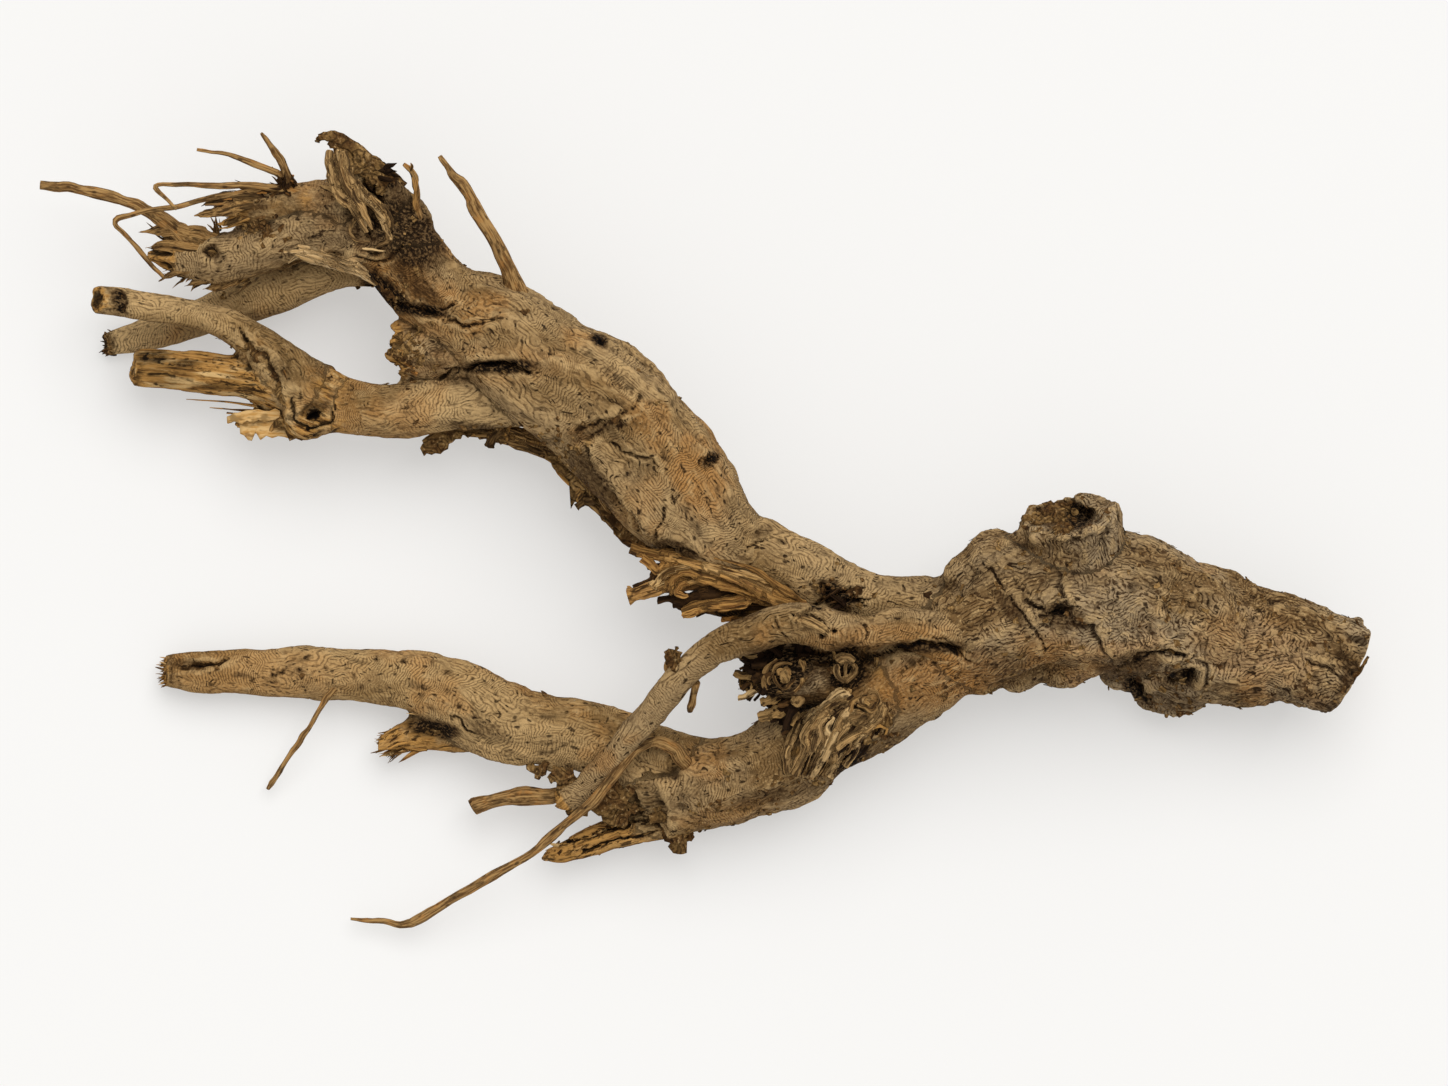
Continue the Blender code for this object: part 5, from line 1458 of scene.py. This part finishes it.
loose_fibres = [
    riven([(-187, 54, 30), (-199, 54.6, 30), (-211, 56.2, 29), (-228.7, 57.4, 28)], 0.9, 0.3),
    riven([(-190, 52, 30), (-203, 52.4, 30), (-218.3, 53.7, 29)], 1.0, 0.3),
    riven([(-196, 58, 28), (-212, 60, 27), (-232, 62.4, 25)], 0.9, 0.3),
    riven([(-186, 50, 31), (-198, 50.4, 31), (-210.8, 51.4, 30)], 1.2, 0.4),
    riven([(-200, 60, 26), (-218, 62, 24), (-240, 64, 23)], 1.1, 0.3),
    riven([(-192, 42, 33), (-190, 45.6, 36), (-187.6, 48.6, 37), (-182, 51.4, 37)], 1.0, 0.4),
    riven([(-195, 46, 31), (-191, 43, 32), (-184, 42, 32), (-179, 43, 32)], 0.9, 0.4),
    riven([(-197.7, 125, 58), (-190, 125.4, 59), (-180, 125.2, 59), (-171.9, 125.2, 57)], 0.8, 0.3),
]
loose_fibres += comb([[(-194, 77, 46), (-190, 72, 47), (-187, 66, 46), (-186, 59, 42)],
                      [(-188, 76, 49), (-185, 71, 50), (-183, 66, 49), (-182, 58, 45)]], 22, 0.7, 1.2, 0.5)
loose_fibres += comb([[(-176, 122, 50), (-181, 122.4, 51), (-184, 123, 51)], [(-176, 117, 48), (-181, 116.6, 49), (-184.6, 116, 49)]],
                     14, 0.5, 0.8, 0.8)
finish_piece(link("loose_fibres", strand_mesh("loose_fibres", loose_fibres, blade, roughness=0.1)), [GOLD])

crown_strips = comb([[(-164, 167, 69), (-164.4, 160, 71), (-162.6, 152, 71), (-159, 146, 70), (-154, 140.5, 69), (-149.5, 131, 66)],
                     [(-159, 167, 71), (-158.5, 160, 73), (-156, 153, 73), (-152.5, 146, 72), (-148.4, 138, 70), (-145, 129, 66)]],
                    14, 2.5, 1.8, 0.9)
crown_strips += comb([[(-157.5, 160, 70), (-156, 153.5, 71), (-152, 146, 70), (-145.5, 141, 69), (-140.5, 134.2, 67), (-139.4, 128.6, 65)],
                      [(-154, 160, 68), (-153, 154, 69), (-149, 147, 69), (-142.6, 142, 68), (-137.4, 134.6, 66), (-136.6, 127.8, 64)]],
                     8, 1.5, 1.0, 0.7)
crown_strips += [riven([(-168, 150.6, 65), (-160, 146, 68), (-154, 139.4, 69), (-149, 131, 68), (-147, 128, 66)], 1.4, 0.4),
                 riven(skin.laid([(-139, 131, 0.8), (-138.4, 127, 0.8), (-142, 124.4, 0.8), (-151, 121.4, 0.4)]), 1.4, 0.4),
                 riven(skin.laid([(-153, 137, 0.6), (-155.4, 131, 0.6), (-152, 126.6, 0.6), (-147, 125.6, 0.6)]), 1.1, 0.4),
                 riven(skin.laid([(-156, 125.6, 0.0), (-149, 122.6, 0.1), (-140, 121.4, 0.0)]), 0.6, 0.4)]
finish_piece(link("crown_strips", strand_mesh("crown_strips", crown_strips, riven_profile, roughness=0.4, gnarl=0.9)), [FANNED])

inner = skin.laid([(-181, 125), (-171, 122.4), (-162, 120), (-154, 117), (-146, 112)], 1.2)
inner = [(x, y, z + 1.4) for x, y, z in inner]
outer = [(x + 1.8, y - 5.6, z - 0.4) for x, y, z in inner]
edge_strip = comb([inner, outer], 16, 1.8, 0.4, 0.15)
edge_strip += [riven([inner[1], (-178, 121.6, inner[0][2]), (-184.4, 121.4, inner[0][2] + 1)], 0.9, 0.7, 0.05),
               riven([inner[1], (-179, 119, inner[0][2]), (-182.6, 116.4, inner[0][2])], 0.8, 0.7, 0.05)]
finish_piece(link("edge_strip", strand_mesh("edge_strip", edge_strip, riven_profile, roughness=0.3, gnarl=0.3)), [BRIGHT])

shag = comb([[(-27.8, -4.6, 46), (-35.8, 3.4, 42), (-43.8, 11.4, 40), (-51.8, 20.4, 38), (-59.8, 28.4, 36)],
             [(-33.8, -4.6, 38), (-41.8, 2.4, 36), (-48.8, 10.4, 34), (-56.8, 19.4, 33), (-65.8, 28.4, 31)]], 26, 1.6, 1.6, 1.4)
shag += comb([[(-53.8, 27.4, 40), (-63.8, 35.4, 38), (-75.8, 40.4, 36), (-89.8, 44.4, 34), (-106, 45, 33)],
              [(-57.8, 21.4, 34), (-67.8, 30.4, 32), (-79.8, 36.4, 31), (-92.8, 40.4, 30), (-108, 42, 30)]], 26, 1.5, 1.4, 1.3)
shag += comb([[(-49.8, 32.4, 56), (-46.8, 26.4, 57), (-41.8, 20.4, 56), (-36.8, 13.4, 53), (-30.8, 6.4, 50)],
              [(-55.8, 31.4, 50), (-52.8, 23.4, 50), (-47.8, 16.4, 49), (-42.8, 9.4, 47), (-35.8, 2.4, 45)]], 22, 1.7, 1.6, 1.2)
shag += comb([[(-110, 86, 46), (-117, 93, 45), (-126, 100, 44), (-137, 106, 43)],
              [(-112, 82, 41), (-120, 89, 40), (-130, 97, 39), (-141, 103, 39)]], 20, 1.4, 1.4, 1.2)
shag += [riven([(-90, 45, 36), (-92.6, 41, 34), (-94.6, 36.6, 33)], 2.4, 0.95, 0.02), riven([(-86, 45, 36), (-88, 42, 34), (-87.6, 39, 33)], 1.8, 0.9),
         riven([(-48, 14, 42), (-53, 12, 40), (-57, 9.4, 38)], 2.6, 0.8), riven([(-52, 20, 41), (-56, 16, 39), (-56.4, 12, 37)], 2.2, 0.8)]
finish_piece(link("shaggy_edge", strand_mesh("shaggy_edge", shag, riven_profile, roughness=0.4, gnarl=1.0)), [DRAB])

side_stub = [riven([(-126, 139, 62), (-126.8, 142.6, 65), (-126.4, 150, 70), (-128, 156, 73), (-131.6, 159.4, 75)], 1.7, 0.6),
             riven([(-129, 156, 74), (-128, 158.4, 76), (-128.6, 160, 77)], 0.7, 0.4)]
finish_piece(link("side_stub", strand_mesh("side_stub", side_stub, riven_profile, roughness=0.25)), [GOLD])


# ---------------------------------------------------------------------------------------------------------
# Bark: flakes, flaps, curls and crumbs
# ---------------------------------------------------------------------------------------------------------

def crown_peak(bm):
    """The hooked sheet of bark at the top of the crown."""
    flake(bm, [(-132, 150, 55), (-139, 155.5, 60), (-146, 160.5, 65), (-152, 165, 69), (-158, 169.5, 71), (-164, 171.8, 72),
               (-169, 171.2, 71)], 6.4, 1.2, 0.8, -0.9, 0.1)
    flake(bm, [(-141, 154, 60), (-148, 159, 64), (-154.5, 163.6, 68), (-160, 167.6, 70), (-164, 170, 71)], 8.0, 1.0, 0.9, 0.6, 0.12)
    flake(bm, [(-144, 151, 60), (-149, 156.4, 63), (-154, 160.4, 66), (-159, 164, 68)], 6.5, 1.0, 0.9, 0.5)
    flake(bm, [(-134, 147, 56), (-140, 151, 60), (-147, 154.6, 62)], 8.0, 1.0, 0.9, 0.6)
    flake(bm, [(-167, 172, 71), (-169, 170.6, 70), (-169.6, 169, 69)], 2.2, 0.5, 0.6)


def ragged_edges(bm):
    """Flaps that hang out along the lower edges of the limbs."""
    rng = np.random.default_rng(7)
    for line, width in (
            ([(-27.8, 3.4, 50), (-35.8, 2.4, 47), (-41.8, 6.4, 44), (-46.2, 9.6, 42)], 7), ([(-23.8, -2.6, 46), (-31.8, -2.6, 42), (-38.8, 3.4, 38)], 9),
            ([(-41.8, 9.4, 52), (-39.8, 17.4, 54), (-41.8, 23.4, 53), (-47.8, 27.4, 50)], 6), ([(-44.8, 27.4, 56), (-47.8, 31.4, 55), (-51.8, 33.4, 52)], 5),
            ([(-57.8, 25.4, 40), (-52.8, 20.4, 42), (-49.8, 13.4, 43)], 8),
            ([(-71.8, 37.4, 35), (-63.8, 32.4, 37), (-57.8, 25.4, 38)], 8), ([(-81.8, 40.4, 34), (-73.8, 39.4, 35), (-65.8, 35.4, 36)], 7),
            ([(-93.8, 43.4, 33), (-84.8, 42, 33), (-76.8, 39.4, 34)], 7), ([(-107, 44, 32), (-96.8, 43.4, 32), (-89.8, 42.4, 33)], 6),
            ([(-106, 45, 36), (-113, 41, 34), (-119, 37.4, 32), (-125, 34.4, 30)], 6.5),
            ([(-110, 46, 35), (-117, 42.4, 33), (-124, 38, 31)], 5), ([(-85.8, 46.4, 36), (-88.8, 41.4, 33), (-87.8, 38, 31)], 4),
            ([(-30, -9, 41), (-25, -10, 43), (-18, -12, 44)], 6), ([(-127, 97, 41), (-121, 92, 42), (-116, 87, 43)], 6),
            ([(-140, 104, 40), (-133, 101, 42), (-127, 97, 42)], 6)):
        flake(bm, line, width, 1.3, 0.9, rng.uniform(-0.8, 0.9), 0.3)


def trunk_end_lip(bm):
    """The torn bark that stands off the sawn end."""
    flake(bm, [(291, -55.6, 40), (288, -60.6, 40), (284.4, -65.6, 38), (279.6, -70, 34), (272, -74.6, 29)], 2.4, 0.7, 0.7, 0.6, 0.2)
    flake(bm, [(285.6, -39.6, 44), (287.2, -45, 47), (287.4, -50, 47), (286, -56, 45)], 1.2, 0.3, 0.6, 0.4, 0.2)


def torn_sleeve(bm):
    """Bark that frays where the lower limb and the arched root break off."""
    for line, width in (
            ([(-16, -118, 36), (-24, -119, 33), (-31, -120, 30)], 9), ([(-12, -125, 36), (-19, -126, 33), (-25, -127, 30)], 9),
            ([(-8, -130, 33), (-14, -133, 30), (-19, -135, 27)], 8), ([(-6, -134, 28), (-12, -138, 25), (-15.6, -141, 22)], 6),
            ([(-34, -112, 36), (-46, -118, 34), (-58, -121, 31)], 12), ([(-30, -122, 34), (-38, -124, 31), (-46, -126, 28)], 9),
            ([(-67, -102, 30), (-72, -105, 30), (-74, -110, 29)], 4), ([(-80, -100, 28), (-76, -105, 29), (-70, -107, 29)], 4), ([(-52, -110, 38), (-59, -113, 36), (-65, -116, 33)], 10), ([(-50, -116, 36), (-56, -121, 33), (-61, -125, 30)], 8),
            ([(-58, -107, 38), (-64, -108, 37), (-69, -110, 34)], 6), ([(-44, -118, 32), (-46, -122, 28), (-45.4, -125, 25)], 3),
            ([(-10, -62, 74), (-14.5, -57, 76), (-17, -52.6, 75)], 5), ([(-11, -58, 75), (-12.6, -54.6, 77), (-12.8, -51, 77)], 4),
            ([(78, -86, 63), (79.6, -82, 64), (76, -79.6, 65)], 5)):
        flake(bm, line, width, 1.0, 0.8, 0.8, 0.3)


def collar_bark(bm):
    """Torn bark round the foot of the golden stub."""
    for line, width in (
            ([(-183, 56, 44), (-187, 60, 45), (-189, 66, 46), (-190, 72, 47)], 5), ([(-192, 73, 47), (-197, 77, 47), (-201, 82, 46)], 5),
            ([(-196, 79, 46), (-202, 80, 44), (-206, 83, 42)], 4), ([(-182, 66, 46), (-187, 70, 48), (-193, 70, 47)], 6),
            ([(-172, 46, 38), (-180, 45, 38), (-190, 46, 36)], 7)):
        flake(bm, line, width, 1.0, 0.8, 0.7, 0.25)


def pale_slab(bm):
    flake(bm, [(-178, 45, 36), (-188, 44.6, 35), (-198, 45, 33), (-205, 44.6, 31)], 11, 0.9, 0.9, 0.4, 0.2)
    flake(bm, [(-184, 50, 37), (-194, 49.4, 36), (-204, 49, 34), (-210.6, 48.6, 32)], 4.5, 0.7, 0.8, 0.5, 0.3)


def crusts(bm):
    """Scaly crumbs: the end of the ragged stub, the knot stub's socket and scabs on the lower edges."""
    rng = np.random.default_rng(23)
    def scatter(count, centre, spread, size, missing=None, sink=0.3):
        for _ in range(count):
            x, y = rng.normal(size=2) * spread + centre
            z = skin.height(x, y, -1)
            if z > 0:
                scale = size * rng.uniform(0.5, 1.4)
                crumb(bm, (x, y, z - sink * scale), scale, rng)
    scatter(90, (-130, 79), (4.4, 7), 1.4)
    scatter(70, (151, 5), (5, 3.6), 1.7)
    scatter(46, (14, -121), (16, 2.4), 1.1)
    scatter(36, (50, -110), (14, 2.4), 1.2)
    scatter(26, (-2, -134), (7, 2.4), 1.1)
    scatter(40, (-195, 132), (4.5, 3.6), 1.4)
    scatter(40, (57, -28), (6, 3.4), 1.5)
    scatter(26, (-133, 129), (9, 7), 0.7)
    scatter(40, (-141, 103), (7, 4), 1.3)
    scatter(24, (77, -91), (5, 4), 1.6)
    scatter(22, (-265, 82), (2.6, 3.6), 1.0)
    scatter(30, (-141, 156), (5, 3), 1.2)
    scatter(34, (207, -80), (10, 2.2), 1.0)
    scatter(26, (125, -72), (10, 2.2), 1.0)
    scatter(50, (-86, 42), (14, 3), 1.4)
    scatter(40, (-60, 30), (6, 7), 1.4)


def scurf(bm):
    """Small scales of bark all over the trunk and here and there on the limbs, loosened along one edge."""
    rng = np.random.default_rng(31)
    points, normals = read_points(wood.data)
    rugged = np.empty(len(points))
    wood.data.attributes["rugged"].data.foreach_get("value", rugged)
    chance = 0.1 + rugged ** 2
    chance[points[:, 2] < 4] = 0
    for index in rng.choice(len(points), 620, replace=False, p=chance / chance.sum()):
        normal = normals[index]
        along = np.cross(normal, rng.normal(size=3))
        along /= np.linalg.norm(along)
        side = np.cross(normal, along)
        length, width = rng.uniform(1.4, 4.6), rng.uniform(0.8, 2.2)
        grid = bmesh.ops.create_grid(bm, x_segments=3, y_segments=2, size=0.5)["verts"]
        for vert in grid:
            t, v = vert.co.x + 0.5, vert.co.y * 2
            place = points[index] + along * (t - 0.3) * length + side * v * width * (0.9 - 0.5 * t) * rng.uniform(0.7, 1.2)
            place = place + normal * (0.05 + 0.28 * t * t * length * 0.5 + 0.1 * rng.normal())
            vert.co = Vector(place) * MM
        faces = list({face for vert in grid for face in vert.link_faces})
        bmesh.ops.solidify(bm, geom=faces, thickness=0.45 * MM)


bark_bits("crown_peak", crown_peak, FLAKE, True)
bark_bits("ragged_edges", ragged_edges, FLAKE, True)
bark_bits("trunk_end_lip", trunk_end_lip, FLAKE, True)
bark_bits("torn_sleeves", torn_sleeve, FLAKE, True)
bark_bits("collar_bark", collar_bark, FLAKE, True)
bark_bits("pale_slab", pale_slab, slab_finish(), True)
bark_bits("crusts", crusts, FLAKE)
bark_bits("scurf", scurf, FLAKE)
for profile in (blade, riven_profile):
    bpy.data.objects.remove(profile)


# ---------------------------------------------------------------------------------------------------------
# Floor, light and camera
# ---------------------------------------------------------------------------------------------------------

def studio():
    floor_mesh = bpy.data.meshes.new("floor")
    bm = bmesh.new()
    bmesh.ops.create_grid(bm, x_segments=1, y_segments=1, size=4)
    bmesh.ops.translate(bm, verts=bm.verts, vec=(0, 0, FLOOR))
    bm.to_mesh(floor_mesh)
    bm.free()
    floor = link("floor", floor_mesh)
    paper = Finish("glowing_paper", 0.9, 0.1)
    paper.shader.inputs["Base Color"].default_value = (0.465, 0.46, 0.45, 1)
    # Painted light: the paper glows a little, though it is no lamp, so that the shadows cast on it come out lighter.
    paper.shader.inputs["Emission Color"].default_value = (1.0, 0.99, 0.97, 1)
    paper.shader.inputs["Emission Strength"].default_value = 0.425
    floor.data.materials.append(paper.material)

    world = bpy.data.worlds.new("studio")
    world.use_nodes = True
    world.node_tree.nodes["Background"].inputs["Color"].default_value = (1.0, 1.0, 1.0, 1)
    world.node_tree.nodes["Background"].inputs["Strength"].default_value = 0.55
    bpy.context.scene.world = world

    for name, place, softness, strength in (("key", (0.2, 0.55, 1.0), 50, 1.95), ("fill", (-0.7, -0.25, 1.0), 90, 0.2)):
        lamp = bpy.data.lights.new(name, "SUN")
        lamp.angle = math.radians(softness)
        lamp.energy = strength
        light = link(name, lamp)
        light.rotation_euler = (-Vector(place)).to_track_quat("-Z", "Y").to_euler()

    view_width = 635.5
    lens, sensor = 300.0, 36.0
    camera = bpy.data.cameras.new("camera")
    camera.lens = lens
    camera.sensor_width = sensor
    camera.clip_end = 100
    looking = link("camera", camera)
    looking.location = (8.1 * MM, -5.9 * MM, (45 + view_width / sensor * lens) * MM)
    bpy.context.scene.camera = looking
    bpy.context.scene.view_settings.view_transform = "Standard"


studio()
